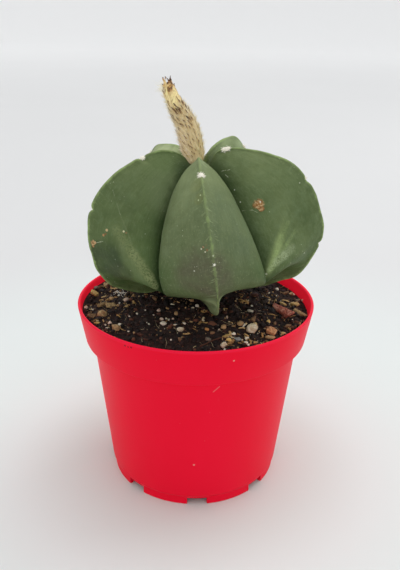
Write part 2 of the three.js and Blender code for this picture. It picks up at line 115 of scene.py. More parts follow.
# The bottom of the furrow between two ribs, likewise
FURROW = [
    (4.2, 60.2), (6, 60), (9.5, 58), (13.5, 54.5), (18, 49.5), (22, 44), (26, 38.5), (30, 33),
    (33.5, 27.5), (36, 22.5), (36.6, 18), (33.5, 16), (29, 14.4), (24.5, 12.8), (20, 11.2),
    (16, 9.4), (12.4, 7.2), (11, 3.8), (10.4, -1), (8, -7.6),
]
# The flank between them: how full beside the furrow, how thin behind the edge, how far tucked up
FLANK = [
    (1.2, 1, 0), (1.2, 1, 0), (1.3, 1, 0), (1.5, 0.95, 0), (1.5, 0.95, 0), (1.5, 0.95, 0),
    (1.5, 0.95, 0), (1.6, 1, 0), (1.8, 1.15, 0), (2.2, 1.4, 0.6), (2.6, 1.9, 1.8), (2.1, 2.2, 2.8),
    (1.5, 2, 3), (1.2, 1.6, 2.4), (1.1, 1.3, 1.4), (1, 1.3, 0.6), (1, 1.1, 0), (1, 1, 0), (1, 1, 0),
    (1, 1, 0),
]
# bearing: where the edge starts on the crown; turn: how far it swings to the right on the way down;
# reach: width against the common outline; swell: how much the left and right flanks belly out; keel:
# how thick and round the edge is at the beak, left and right; tuck: how far the flanks are tucked up;
# pinch: how much further beside the beak, left and right; lifts: places where the edge stands higher,
# how much, and how far that spreads; notches: dents in the edge as (place along it, depth, spread).
# All ribs but the front one are plain
PLAIN_RIB = {"turn": 0, "swell": (0.1, 0.1), "keel": (0, 0), "pinch": (0, 0)}
RIBS = [
    {
        "bearing": -1.5, "turn": 18.2, "reach": 0.97, "swell": (0.5, 0.22), "keel": (2.2, 0.8),
        "tuck": 0.4, "pinch": (0, 4), "notches": [(0.226, 0.5, 0.012)],
        "lifts": [(0.1, -1, 0.1), (0.3, -3.2, 0.12), (0.735, -4.2, 0.055)],
    },
    {
        **PLAIN_RIB, "bearing": 79, "reach": 1.025, "tuck": 2.2,
        "lifts": [
            (0.07, 1.4, 0.06), (0.285, 1.3, 0.05), (0.4, -1.1, 0.06), (0.5, 1.7, 0.05),
            (0.66, 2.6, 0.07),
        ],
        "notches": [(0.093, 0.5, 0.014), (0.32, 0.6, 0.007), (0.469, 0.8, 0.007)],
    },
    {
        **PLAIN_RIB, "bearing": 147, "reach": 1, "tuck": 1,
        "lifts": [(0.08, -0.4, 0.08), (0.225, 1.9, 0.05)],
        "notches": [(0.27, 0.5, 0.008), (0.4, 1, 0.01)],
    },
    {
        **PLAIN_RIB, "bearing": 212, "reach": 1.03, "tuck": 1,
        "lifts": [(0.16, -2.7, 0.12), (0.3, 0.8, 0.07)],
        "notches": [(0.3, 0.6, 0.008), (0.42, 1.1, 0.01)],
    },
    {
        **PLAIN_RIB, "bearing": 296, "reach": 1.005, "tuck": 2.2,
        "lifts": [(0.22, -2, 0.06), (0.3, -1.5, 0.06), (0.38, -1, 0.06), (0.52, -4, 0.08)],
        "notches": [(0.192, 1, 0.009), (0.368, 0.9, 0.006)],
    },
]
# The furrow to the right of each rib: bearing, turn, and how much higher its lower end lies
FURROWS = [(42, -3.1, 1), (113, 0, 0), (180, 0, 0), (256, 0, 0), (327.2, 19.5, -2)]
TURN_POWER = 1.2
FURROW_END_AT = 0.52
FURROW_END_SPREAD = 0.12
KEEL_AT = 0.735
KEEL_SPREAD = 0.045
PINCH_AT = 0.68
PINCH_SPREAD = 0.12
PINCH_POWER = 1.5
# How thick and round each rib's edge is elsewhere
BEADS = [0.45, 0.75, 0.7, 0.7, 0.75]
SWELL_END = 0.56
REACH_RADIUS = 20
# How far from the edge its waves and notches reach down the flanks
RELIEF_SPREAD = 2.4
# Soft folds that run up a flank from the foot of its furrow: rib, side, where the fold starts and ends
# along the rib, where across the flank, how far it stands out, how wide it is
FOLDS = [
    (1, 0, (0.48, 0.335), (0.05, 0.62), 0.62, 0.085),
    (1, 0, (0.49, 0.365), (0.06, 0.6), 0.5, 0.045),
    (1, 0, (0.51, 0.4), (0.08, 0.62), 0.4, 0.09),
    (4, 1, (0.54, 0.345), (0.3, 0.82), 0.58, 0.14),
]
FOLD_POWER = 1.35

# Dried flower: its centre line, above the rim, and its radius along it
FLOWER_LINE = [
    (-0.9, 0.8, CROWN_HEIGHT + CROWN_DIMPLE + 0.3), (-2.2, 1, 66.5), (-4.3, 1.2, 74.9),
    (-8.1, 1.4, 82.5), (-10.9, 1.6, 88.4), (-12.1, 1.7, 92),
]
FLOWER_RADII = [2.9, 4.2, 4.1, 3.2, 2.2, 1.7]


# Numbers and outlines


def mixed(first, second, share):
    """The point or number that lies `share` of the way from the first to the second."""
    return first + (second - first) * share


def unit(vectors):
    """Each vector divided by its own length."""
    return vectors / np.maximum(np.linalg.norm(vectors, axis=-1, keepdims=True), 1e-9)


def smooth(value, low, high):
    """A soft step: 0 up to `low`, 1 from `high`, and 3t^2 - 2t^3 between them."""
    share = np.clip((value - low) / (high - low), 0, 1)
    return share * share * (3 - 2 * share)


def hump(value, place, spread):
    """A smooth hump of height 1 round a place: e to the minus square of the distance over the spread."""
    return np.exp(-(((value - place) / spread) ** 2))


def spline(stops, at):
    """A curve through evenly spaced stops, read from 0 at the first to 1 at the last: the cubic whose
    slope at each stop is half the step between the stops beside it."""
    stops = np.asarray(stops, float)
    last = len(stops) - 1
    place = np.clip(at, 0, 1) * last
    index = np.minimum(place.astype(int), last - 1)
    share = (place - index)[..., None]
    before, start, end, after = (stops[np.clip(index + step, 0, last)] for step in (-1, 0, 1, 2))
    lead = (end - before) / 2
    trail = (after - start) / 2
    cubic = 2 * start - 2 * end + lead + trail
    square = 3 * end - 3 * start - 2 * lead - trail
    return ((cubic * share + square) * share + lead) * share + start


def outward(bearing):
    """The level unit vector at a bearing."""
    angle = np.radians(bearing)
    return np.stack([np.sin(angle), -np.cos(angle), np.zeros_like(angle)], -1)


LATTICE_SIDE = 64
LATTICE = np.random.default_rng(5).random((LATTICE_SIDE,) * 3)


def noise(points, size):
    """Smooth noise from -1 to 1: seeded numbers on a lattice with the given spacing, blended by a soft
    step along each axis."""
    place = points / size
    cell = np.floor(place).astype(int)
    share = smooth(place - cell, 0, 1)
    total = 0
    for corner in np.ndindex(2, 2, 2):
        at = (cell + corner) % LATTICE_SIDE
        weight = np.prod(np.where(corner, share, 1 - share), axis=-1)
        total = total + weight * LATTICE[at[..., 0], at[..., 1], at[..., 2]]
    return 2 * total - 1


# Meshes


def closed(first, rings, last):
    """A closed surface, or many alike, from a first pole, rings that run round it from its top down,
    and a last pole: the points as (copies, points, 3) and one copy's triangles, two for each field
    between neighbouring rings and one for each field beside a pole."""
    rows, columns = rings.shape[-3:-1]
    body = rings.reshape(-1, rows * columns, 3)
    points = np.concatenate([np.reshape(first, (-1, 1, 3)), body, np.reshape(last, (-1, 1, 3))], 1)
    ring = 1 + np.arange(rows * columns).reshape(rows, columns)
    after = np.roll(ring, -1, axis=1)
    top, bottom = np.zeros(columns, int), np.full(columns, 1 + rows * columns)
    fields = [
        (ring[:-1], ring[1:], after[:-1]), (after[:-1], ring[1:], after[1:]),
        (top, ring[0], after[0]), (ring[-1], bottom, after[-1]),
    ]
    return points, np.vstack([np.stack(field, -1).reshape(-1, 3) for field in fields])


def solid(name, points, faces, finish, **values):
    """One object from copies of a surface: points (copies, points, 3) in millimetres, the triangles of
    one copy, and named values for each point."""
    copies, count = points.shape[:2]
    corners = (faces + count * np.arange(copies)[:, None, None]).reshape(-1)
    mesh = bpy.data.meshes.new(name)
    mesh.vertices.add(copies * count)
    mesh.vertices.foreach_set("co", (points * MM).astype(np.float32).reshape(-1))
    mesh.loops.add(len(corners))
    mesh.loops.foreach_set("vertex_index", corners)
    mesh.polygons.add(len(corners) // 3)
    mesh.polygons.foreach_set("loop_start", np.arange(0, len(corners), 3))
    mesh.update(calc_edges=True)
    for key, value in values.items():
        layer = mesh.attributes.new(key, "FLOAT", "POINT")
        spread = np.broadcast_to(value, (copies, count)).astype(np.float32)
        layer.data.foreach_set("value", spread.reshape(-1))
    mesh.shade_smooth()
    mesh.materials.append(finish)
    made = bpy.data.objects.new(name, mesh)
    bpy.context.collection.objects.link(made)
    return made


def build(name, points, faces, slot, finish, nodes=(), **values):
    """A surface that belongs to the part and stands in for its nodes; the slot is not used."""
    piece = solid(name, points, faces, finish, **values)
    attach(piece, "root")
    if nodes:
        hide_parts(*nodes)
    return piece


def strands(centres, side, width, thickness, corners):
    """Many tapered strands at once. Each follows its own centre line (strands, steps, 3); round every
    step lies a ring, `width` to the side and `thickness` across it, closed at both ends by a point."""
    ahead = unit(np.gradient(centres, axis=1))
    side = np.broadcast_to(side, centres.shape)
    side = unit(side - ahead * np.sum(side * ahead, -1, keepdims=True))
    across = np.cross(ahead, side)
    angle = 2 * np.pi * np.arange(corners) / corners
    around = (
        np.cos(angle)[:, None] * (side * width[..., None])[:, :, None]
        - np.sin(angle)[:, None] * (across * thickness[..., None])[:, :, None]
    )
    rings = (centres[:, :, None] + around)[:, ::-1]
    return closed(centres[:, -1], rings, centres[:, 0])


def grow(name, slot, finish, line, side, width, thickness, corners, shade, foot=0):
    """Strands as one piece. `shade` is a number for each strand; `tip` runs from `foot` at a strand's
    foot to 1 at its end."""
    share = np.repeat(np.linspace(1, 0, line.shape[1]), corners)
    tip = mixed(foot, 1, np.concatenate([[1], share, [0]]))
    surface = strands(line, side, width, thickness, corners)
    build(name, *surface, slot, finish, tip=tip, shade=shade[:, None])


def ball(rows, columns):
    """Unit directions over a ball: a pole, rings from the top down, a pole."""
    fall = (np.arange(rows) + 1)[:, None] * np.pi / (rows + 1)
    turn = 2 * np.pi * np.arange(columns) / columns
    level = np.cos(fall) * np.ones(columns)
    rings = np.stack([np.sin(fall) * np.cos(turn), np.sin(fall) * np.sin(turn), level], -1)
    points, faces = closed([0, 0, 1], rings, [0, 0, -1])
    return points[0], faces


def cut_stones(directions, random, count, cuts, sharpness, skew=0.35, reach=0.62):
    """Stones cut by six skewed planes of a block and by random planes, as points (stones, directions,
    3) about 1 across. Along a direction the surface lies where the planes' nearness, raised to the
    sharpness and summed, reaches 1, so that high sharpness gives crisp edges and low sharpness
    rounded lumps. No corner lies further out than the reach."""
    block = np.concatenate([np.eye(3), -np.eye(3)]) + random.normal(0, skew, (count, 6, 3))
    facing = unit(np.concatenate([block, random.normal(size=(count, cuts, 3))], 1))
    cuts = cuts + 6
    depth = random.uniform(0.38, 0.52, (count, cuts))
    near = np.maximum(np.einsum("ndk,mk->nmd", facing, directions), 0) / depth[:, None]
    radius = (np.sum(near**sharpness, -1) + reach**-sharpness) ** (-1 / sharpness)
    return directions * radius[..., None]


def turned(points, bearing, lean_axis, lean):
    """Points turned about the vertical by a bearing, then leaned by an angle about a level axis."""
    angle = np.radians(bearing)
    cos, sin = np.cos(angle)[:, None], np.sin(angle)[:, None]
    x, y, z = points[..., 0], points[..., 1], points[..., 2]
    spun = np.stack([x * cos - y * sin, x * sin + y * cos, z], -1)
    axis = outward(lean_axis)[:, None]
    tilt = np.radians(lean)[:, None, None]
    along = axis * np.sum(spun * axis, -1, keepdims=True)
    return along + (spun - along) * np.cos(tilt) + np.cross(axis, spun) * np.sin(tilt)


# Materials


def paint(code):
    """A colour written as 0xRRGGBB, as the linear red, green, blue and alpha that a socket takes."""
    display = np.array([code >> 16, code >> 8 & 255, code & 255]) / 255
    linear = np.where(display <= 0.04045, display / 12.92, ((display + 0.055) / 1.055) ** 2.4)
    return (*linear.tolist(), 1.0)


class Value:
    """What a node gives. Arithmetic on numbers adds Math nodes."""

    def __init__(self, tree, socket):
        self.tree = tree
        self.socket = socket

    def math(self, operation, first, second=0.0, clamp=False):
        inputs = {0: first, 1: second}
        return self.tree.node("ShaderNodeMath", inputs, operation=operation, use_clamp=clamp)

    def __add__(self, other):
        return self.math("ADD", self, other)

    def __mul__(self, other):
        return self.math("MULTIPLY", self, other)

    def __sub__(self, other):
        return self.math("SUBTRACT", self, other)

    def __rsub__(self, other):
        return self.math("SUBTRACT", other, self)

    def __truediv__(self, other):
        return self.math("DIVIDE", self, other)

    __radd__ = __add__
    __rmul__ = __mul__

    def kept(self):
        """This number held between 0 and 1."""
        return self.math("ADD", self, 0.0, clamp=True)

    def fade(self, low, high, start=0.0, end=1.0):
        """A soft step from `start` where this number is `low` to `end` where it is `high`."""
        inputs = {"Value": self, "From Min": low, "From Max": high, "To Min": start, "To Max": end}
        return self.tree.node("ShaderNodeMapRange", inputs, interpolation_type="SMOOTHSTEP")


class Nodes:
    """A node tree that nodes and links are added to."""

    def __init__(self, tree):
        self.nodes = tree.nodes
        self.links = tree.links

    def join(self, value, socket):
        self.links.new(value.socket, socket)

    def node(self, kind, inputs=None, output=0, stops=(), **settings):
        """Adds a node: its settings, then a number, a colour or another node's value per socket."""
        node = self.nodes.new(kind)
        for key, value in settings.items():
            setattr(node, key, value)
        for extra in stops[2:]:
            node.color_ramp.elements.new(1)
        for number, (position, code) in enumerate(stops):
            element = node.color_ramp.elements[number]
            element.position = position
            element.color = paint(code)
        for key, value in (inputs or {}).items():
            if isinstance(value, Value):
                self.join(value, node.inputs[key])
            else:
                node.inputs[key].default_value = value
        return Value(self, node.outputs[output])

    def vector(self, operation, first, second=None, output=0, **more):
        inputs = {0: first, **more}
        if second is not None:
            inputs[1] = second
        return self.node("ShaderNodeVectorMath", inputs, output=output, operation=operation)


class Finish(Nodes):
    """A procedural material. Its places are the object's own, in millimetres; `base` is the colour
    that has been built up so far."""

    def __init__(self, name, base=None, **constants):
        self.material = bpy.data.materials.new(name)
        self.material.use_nodes = True
        super().__init__(self.material.node_tree)
        self.base = base
        self.shader = self.nodes["Principled BSDF"]
        for key, value in constants.items():
            self.shader.inputs[key.replace("_", " ")].default_value = value
        self.place = self.vector("SCALE", self.node("ShaderNodeTexCoord", output=3), Scale=1 / MM)

    def mix(self, share, first, second):
        """A colour that goes from the first to the second as the share goes from 0 to 1."""
        colours = [paint(value) if isinstance(value, int) else value for value in (first, second)]
        inputs = {0: share, 6: colours[0], 7: colours[1]}
        return self.node("ShaderNodeMix", inputs, output=2, data_type="RGBA")

    def cover(self, share, colour):
        """Lays a colour over the base, as far as the share goes from 0 to 1."""
        self.base = self.mix(share, self.base, colour)

    def ramp(self, value, *stops):
        """Takes the base from colour stops."""
        self.base = self.node("ShaderNodeValToRGB", {0: value}, stops=stops)

    def axis(self, number):
        """The place along X (0), Y (1) or Z (2)."""
        return self.node("ShaderNodeSeparateXYZ", {0: self.place}, output=number)

    def point(self, x, y, z):
        return self.node("ShaderNodeCombineXYZ", {0: x, 1: y, 2: z})

    def noise(self, size, detail=2.0, at=None, stretch=None, roughness=0.5, output=0):
        """Noise from 0 to 1 with the given feature size, or with output 1 three such noises as a
        vector; `stretch` multiplies the place by axis."""
        place = at or self.place
        if stretch:
            place = self.vector("MULTIPLY", place, stretch)
        inputs = {"Vector": place, "Scale": 1 / size, "Detail": detail, "Roughness": roughness}
        return self.node("ShaderNodeTexNoise", inputs, output=output)

    def cells(self, size):
        """Distance from the nearest of scattered seeds, in steps of the size."""
        return self.node("ShaderNodeTexVoronoi", {"Vector": self.place, "Scale": 1 / size})

    def read(self, key):
        """A value stored on the piece's points."""
        return self.node("ShaderNodeAttribute", output=2, attribute_name=key)

    def near(self, point, radius, at=None):
        """1 at a point of the object, falling softly to 0 at the radius round it."""
        away = self.vector("DISTANCE", at or self.place, tuple(point), output=1)
        return away.fade(radius, radius * 0.55)

    def line(self, start, end, width):
        """1 on the straight line between two points of the object, falling softly to 0 at its width."""
        run = np.subtract(end, start)
        offset = self.vector("SUBTRACT", self.place, tuple(start))
        share = self.vector("DOT_PRODUCT", offset, tuple(run / (run @ run)), output=1).kept()
        foot = self.vector("SCALE", tuple(run), Scale=share)
        return self.vector("DISTANCE", offset, foot, output=1).fade(width, width * 0.3)

    def bump(self, height, distance, below=None):
        """A bump of a height from 0 to 1 over the given depth in millimetres, over another bump."""
        inputs = {"Height": height, "Distance": distance * MM}
        if below:
            inputs["Normal"] = below
        return self.node("ShaderNodeBump", inputs)

    def glow(self, strength, colour=None):
        """Painted light: a faint glow of the base colour, or of another, standing in for light that thin
        matter passes on.
        """
        self.join(colour or self.base, self.shader.inputs["Emission Color"])
        self.shader.inputs["Emission Strength"].default_value = strength

    def wear(self, roughness=None, normal=None):
        """Joins the base colour, roughness and normal to the shader and gives the material."""
        for key, value in (("Base Color", self.base), ("Roughness", roughness), ("Normal", normal)):
            if value is not None:
                self.join(value, self.shader.inputs[key])
        return self.material


# Strength of the painted glow on the inside of the rim
INNER_WALL_PAINTED_GLOW = 0.28
# Marks on the pot's outside: place, radius, colour
POT_MARKS = [
    (-27.3, -44.5, 82.6, 0.5, 0x5A1014), (-26.0, -45.2, 82.4, 0.4, 0x6A1418),
    (-24.8, -46.0, 82.6, 0.5, 0x50100F), (14.9, -49.5, 79.3, 0.5, 0xF0A090),
    (0.1, -41.6, 23.9, 0.6, 0xF09A90),
]
POT_SCRATCH = ((7.4, -45.3, 62.6), (9.8, -45.0, 65.0), 0.3)


def pot_plastic():
    """Moulded red plastic: even colour with faint flow marks, dust, small scuffs, a fine grain and a
    painted highlight on the lip. The inside of the rim has a painted glow, standing in for light through
    the thin wall."""
    finish = Finish("pot_plastic", 0xF6062C, IOR=1.46, Specular_IOR_Level=0.1)
    flow = finish.noise(14, 3, stretch=(1, 1, 0.35))
    finish.cover(flow, 0xFC0A34)
    scuff = finish.noise(1.6, 5, stretch=(1, 1, 0.2), roughness=0.7).fade(0.66, 0.78)
    finish.cover(scuff * 0.18, 0xFF707C)
    dust = finish.cells(3.1).fade(0.06, 0.035)
    finish.cover(dust * finish.noise(9).fade(0.55, 0.7) * 0.7, 0xE7B9A8)
    height = finish.axis(2)
    # Painted highlight: the lip's top is lighter and pinker
    finish.cover(height.fade(POT_HEIGHT - 0.3, POT_HEIGHT + 0.5) * 0.6, 0xFF2448)
    soiled = height.fade(POT_HEIGHT - 4, POT_HEIGHT) * finish.noise(0.9, 3).fade(0.69, 0.77)
    finish.cover(soiled * 0.25, 0x6A1B18)
    for *place, radius, tone in POT_MARKS:
        finish.cover(finish.near(place, radius) * 0.85, tone)
    finish.cover(finish.line(*POT_SCRATCH) * 0.6, 0xF08A88)
    # Painted light: a red glow inside the rim stands in for light that passes through the thin wall
    around = finish.vector("MULTIPLY", finish.place, (1, 1, 0))
    slant = (RIM_RADIUS - COLLAR_FOOT_RADIUS) / COLLAR_HEIGHT
    depth = finish.vector("LENGTH", around, output=1) - (height - POT_HEIGHT) * slant
    inside = depth.fade(RIM_RADIUS - WALL * 0.4, RIM_RADIUS - WALL * 0.9)
    inside = inside * height.fade(POT_HEIGHT - 8, POT_HEIGHT - 3)
    finish.glow(INNER_WALL_PAINTED_GLOW, finish.mix(inside, 0x000000, 0xFF2034))
    grain = finish.noise(0.45, 2)
    relief = finish.bump(grain, 0.03, below=finish.bump(flow, 0.12))
    return finish.wear(0.4 + grain * 0.08 + scuff * 0.12, relief)


# Corky scars and specks on the skin: place, radius, colour, how strongly it covers
SCARS = [
    (24.3, -17.4, 132.1, 2.7, 0xA87C4C, 1), (25.3, -17.9, 130.6, 1.5, 0xA87A4C, 1),
    (-41.1, -23.0, 117.0, 1.3, 0xC8A070, 1), (-41.0, -22.4, 115.6, 0.9, 0xB88A5C, 1),
    (-40.3, -23.6, 117.3, 0.7, 0xD0AC7C, 1), (-35.2, -25.5, 123.2, 0.7, 0xD8C08C, 1),
    (-36.5, -25.0, 121.0, 0.7, 0xC89A68, 1), (-35.6, -25.3, 121.6, 0.6, 0x8A5C38, 0.9),
    (-28.4, -27.1, 123.3, 0.5, 0xE0D8B0, 0.9), (-27.4, -27.5, 122.9, 0.5, 0x8C6A48, 0.8),
    (2.2, -45.8, 123.9, 0.7, 0x7A5A3C, 0.9), (3.7, -46.9, 123.2, 0.6, 0x8F5F40, 0.8),
    (3.2, -46.6, 125.0, 0.6, 0x7C6040, 0.7), (1.6, -45.5, 123.1, 0.42, 0xE0DCC0, 0.9),
    (3.0, -46.5, 122.3, 0.42, 0xE0DCC0, 0.9), (1.0, -36.1, 140.6, 0.45, 0xC8D2A4, 0.8),
    (0.3, -36.7, 138.9, 0.45, 0xC8D2A4, 0.8), (6.0, -48.5, 121.6, 0.45, 0xD8DCC4, 0.8),
    (6.1, -48.7, 118.1, 0.6, 0xF4F4EA, 1), (6.8, -48.6, 118.2, 0.55, 0xF4F4EA, 1),
    (-0.8, -44.6, 114.1, 0.4, 0xDDE0CC, 0.7), (14.8, -13.1, 136.8, 0.35, 0xD6DAC4, 0.9),
    (17.2, -15.6, 132.5, 0.35, 0xD6DAC4, 0.9), (27.7, -28.6, 107.0, 0.6, 0xC9CDB0, 0.8),
    (44.0, -17.2, 111.9, 0.5, 0xD0D4BA, 0.7), (41.2, -10.5, 139.4, 0.4, 0xD9DDC6, 0.7),
    (25.0, -17.0, 133.1, 0.4, 0xF0F0E6, 0.9), (24.2, -17.2, 134.0, 0.35, 0xF0F0E6, 0.9),
]
# Above these radii a scar is corky, and its outline ragged
CORK_RADIUS = 0.65
RAGGED_RADIUS = 1.2
# Fine pale scratches, veins and soft rays, each a chain of straight runs: colour, start, and for each
# run where it ends, its half width and how strongly it covers
SCRATCHES = [
    (0xC9CFAE, (18.0, -17.0, 129.3), [
        (21.9, -18.0, 130.0, 0.16, 0.7), (23.9, -18.7, 129.2, 0.13, 0.6),
    ]),
    (0xC9CFAE, (37.6, -23.8, 109.9), [(40.0, -21.2, 108.6, 0.2, 0.7)]),
    (0xC9CFAE, (42.9, -18.9, 113.3), [(45.2, -14.6, 110.5, 0.2, 0.7)]),
    (0xC9CFAE, (-39.9, -23.8, 117.3), [(-36.9, -25.2, 118.5, 0.2, 0.9)]),
    (0xC9CFAE, (-33.0, -19.8, 137.8), [(-29.8, -24.5, 129.2, 0.16, 0.35)]),
    (0xC9CFAE, (9.6, -7.7, 143.0), [(11.2, -8.3, 143.6, 0.24, 0.7)]),
    (0xC9CFAE, (12.0, -8.4, 143.5), [(13.0, -8.8, 144.1, 0.22, 0.7)]),
    (0xC9CFAE, (11.2, -9.2, 141.9), [(12.2, -10.0, 141.2, 0.2, 0.6)]),
    (0x9DB272, (28.8, -28.8, 108.3), [
        (31.5, -25.4, 115.1, 1.4, 0.4), (33.7, -22.4, 120.8, 1.5, 0.35), (36.3, -19.2, 125.5, 1.3, 0.2),
    ]),
    (0x9DB272, (29.4, -28.9, 108.4), [
        (32.8, -26.1, 113.3, 1.3, 0.35), (36.1, -22.6, 117.5, 1.4, 0.3), (39.4, -19.0, 121.8, 1.3, 0.2),
    ]),
    (0xA6B48C, (28.7, -28.5, 108.6), [
        (31.7, -27.4, 111.6, 1.4, 0.35), (35.1, -24.6, 113.6, 2.4, 0.45), (38.4, -22.1, 115.6, 2.6, 0.35),
    ]),
    (0x8A9462, (-31.4, -26.8, 123.7), [(-24.6, -30.5, 115.3, 2.8, 0.35)]),
    (0x8C9464, (-24.6, -30.5, 115.3), [(-18.3, -34.1, 107.2, 2.8, 0.55)]),
    (0x8A9462, (-18.3, -34.1, 107.2), [(-16.0, -34.8, 103.8, 2.2, 0.55)]),
    (0x9CA67C, (-29.8, -24.5, 129.2), [
        (-26.1, -28.2, 121.4, 0.5, 0.12), (-24.3, -30.7, 115.0, 0.7, 0.12),
    ]),
]
# Broad tones on the skin: place, reach, colour, strength
# The pale tones on the back ribs' tops are painted light; the dark ones by the left furrow and low on the
# left rib, painted shade
TONES_PAINTED_LIGHT_AND_SHADE = [
    (2.5, -44.5, 113, 13.5, 0x585042, 0.6), (9, -42, 104, 9, 0x625C50, 0.3),
    (-0.4, -31.0, 143.0, 4, 0x747A40, 0.5), (0.6, -36.6, 139.4, 3, 0x747A40, 0.4),
    (8.6, -33, 93, 12, 0xA6BE8A, 0.9), (-9, -24, 141, 16, 0x8E9C70, 0.45),
    (13, -33, 129, 18, 0x55674A, 0.45), (34, -17, 127, 28, 0x7A8E62, 0.16),
    (-19, -22, 133, 18, 0x3C4C2C, 0.35), (-40, -18, 125, 16, 0x64764A, 0.4),
    (-35.5, -25.2, 110, 11, 0x36442A, 0.75), (-29, -28.5, 106, 7, 0x3A4228, 0.5),
    (-22, 14, 148, 20, 0xBCC896, 0.8), (17, 26, 150, 20, 0xA4B484, 0.6),
]


def cactus_skin():
    """Matt grey-green skin, mottled, with painted shade in the furrows and on places that face down, and
    painted light on top and along the soft folds. Fine pale and dark strokes run down each flank, a faint
    light line follows each rib's edge with slanting veins beside it, and broad tones (among them painted
    light on the back ribs' tops and painted shade low on the left), flecks, scratches and corky scars lie
    at their places."""
    finish = Finish("cactus_skin", 0x4E5F36, IOR=1.4, Specular_IOR_Level=0.3)
    values = "edge_mm", "furrow_mm", "front", "side", "up", "facing_down_shade", "fold"
    edge, furrow, front, side, up, facing_down_shade, fold = map(finish.read, values)
    across, height = finish.axis(0), finish.axis(2)
    left = across.fade(2, -12)
    # Broad tones, then painted light on top and along the folds, painted shade in the furrows and facing
    # down
    broad = finish.noise(15, 3)
    blotch = finish.noise(3.2, 4, roughness=0.6)
    finish.cover(broad.fade(0.3, 0.7), 0x5E6D42)
    finish.cover(front * (0.45 + 0.55 * finish.noise(9, 2)), 0x68744F)
    finish.cover(blotch.fade(0.42, 0.72) * 0.3, 0x748660)
    finish.cover(blotch.fade(0.5, 0.24) * 0.3, 0x3C5028)
    finish.cover(front * height.fade(125, 108) * 0.22, 0x4A5834)
    finish.cover(front * height.fade(120, 109) * edge.fade(5, 14) * 0.6, 0x3E5824)
    # Painted light: faces that look up are paler
    finish.cover(up.fade(0.3, 1.0) * 0.7, 0x8C9B6A)
    # Painted light along the soft folds, where a flank turns up to the light; darker on the left
    fold = fold * (0.7 + 0.5 * finish.noise(5, 3, stretch=(1, 1, 0.3)))
    finish.cover(fold.fade(0.12, 0.9) * 0.8, finish.mix(left, 0xA2B474, 0x7A845C))
    # Painted shade in the furrows: a broad dark band beside them on the left, and a narrow dark band at
    # every furrow's bottom, weakest on the front rib's right side
    hollow = left * (1 - front) * 0.4
    finish.cover(furrow.fade(24, 4) * hollow, 0x3E5C24)
    finish.cover(furrow.fade(10, 0.5) * (0.6 + hollow - 0.4 * front * across.fade(8, 20)), 0x182F08)
    # Painted shade on places that face down, less on the front rib
    finish.cover(facing_down_shade * (0.5 - 0.3 * front), 0x4C6636)
    patchy = 0.3 + 0.7 * finish.noise(6, 3).fade(0.25, 0.65)
    for *place, reach, tone, strength in TONES_PAINTED_LIGHT_AND_SHADE:
        finish.cover(finish.near(place, reach) * patchy * strength, tone)
    # Strokes that run down the flanks, and flecks
    down = furrow / (edge + furrow + 0.1)
    meridian = finish.point(down * 34 + side * 40, height * 0.14, front * 20)
    stroke = finish.noise(0.7, 4, at=meridian, roughness=0.65)
    finish.cover(stroke.fade(0.5, 0.78) * 0.14, 0xA0AC7C)
    finish.cover(stroke.fade(0.48, 0.26) * (0.18 - 0.08 * front), 0x3E5230)
    fleck = finish.noise(0.6, 4, stretch=(1, 1, 0.6), roughness=0.7)
    finish.cover(fleck.fade(0.54, 0.8) * (0.2 + 0.25 * front), 0xA6B286)
    # The ribs' edges with their veins
    slant = finish.point(edge * 0.3, height + edge * 0.9, side * 20)
    vein = finish.noise(0.8, 3, at=slant).fade(0.56, 0.7) * edge.fade(5, 0.4)
    finish.cover(vein * (0.14 + 0.3 * front), 0xA0B080)
    wander = edge + finish.noise(1.3, 4) * (1.2 + 1.2 * front) - 0.6 - 0.5 * front
    bright = (0.2 + 0.7 * finish.noise(4, 3).fade(0.35, 0.65)) * (1 - 0.35 * front)
    finish.cover(wander.fade(0.9, 0.1) * bright, 0x94AA6A)
    # Specks, scratches and scars
    speck = finish.cells(2.2).fade(0.085, 0.05) * finish.noise(6).fade(0.52, 0.62)
    finish.cover(speck * 0.7, 0xC8CEB4)
    broken = finish.noise(0.6, 2).fade(0.25, 0.6)
    for tone, start, runs in SCRATCHES:
        for *end, width, strength in runs:
            finish.cover(finish.line(start, end, width) * broken * strength, tone)
            start = end
    ragged = finish.vector("SCALE", finish.noise(1.25, 4, output=1), Scale=2)
    shifted = finish.vector("SUBTRACT", finish.vector("ADD", finish.place, ragged), (1, 1, 1))
    cork = 0.0
    for *place, radius, tone, strength in SCARS:
        mark = finish.near(place, radius, at=shifted if radius > RAGGED_RADIUS else None)
        finish.cover(mark * strength, tone)
        if radius > CORK_RADIUS:
            cork = mark + cork
    cork = cork.kept()
    crust = finish.noise(0.9, 4, roughness=0.7)
    finish.cover(cork * crust.fade(0.52, 0.6) * 0.6, 0xE4D4A4)
    finish.cover(cork * crust.fade(0.46, 0.38) * 0.7, 0x5A3E26)
    relief = finish.bump(cork * (0.3 + crust), 0.5, below=finish.bump(blotch, 0.5))
    relief = finish.bump(wander.fade(0.8, 0.1), 0.06, below=relief)
    relief = finish.bump(finish.noise(0.5, 3), 0.06, below=relief)
    return finish.wear(0.52 + 0.1 * broad + fleck * 0.08 + cork * 0.3, relief)


# Strength of the painted glow of wool and flower tissue, standing in for light through thin matter
TISSUE_PAINTED_GLOW = 0.15


def wool():
    """Off-white felted hair, a little greyer at its roots."""
    finish = Finish("areole_wool", 0xE6DFCB, Roughness=0.95)
    finish.cover(finish.read("tip") * 0.5 + finish.read("shade") * 0.5, 0xFFFCF2)
    finish.glow(TISSUE_PAINTED_GLOW)
    return finish.wear()


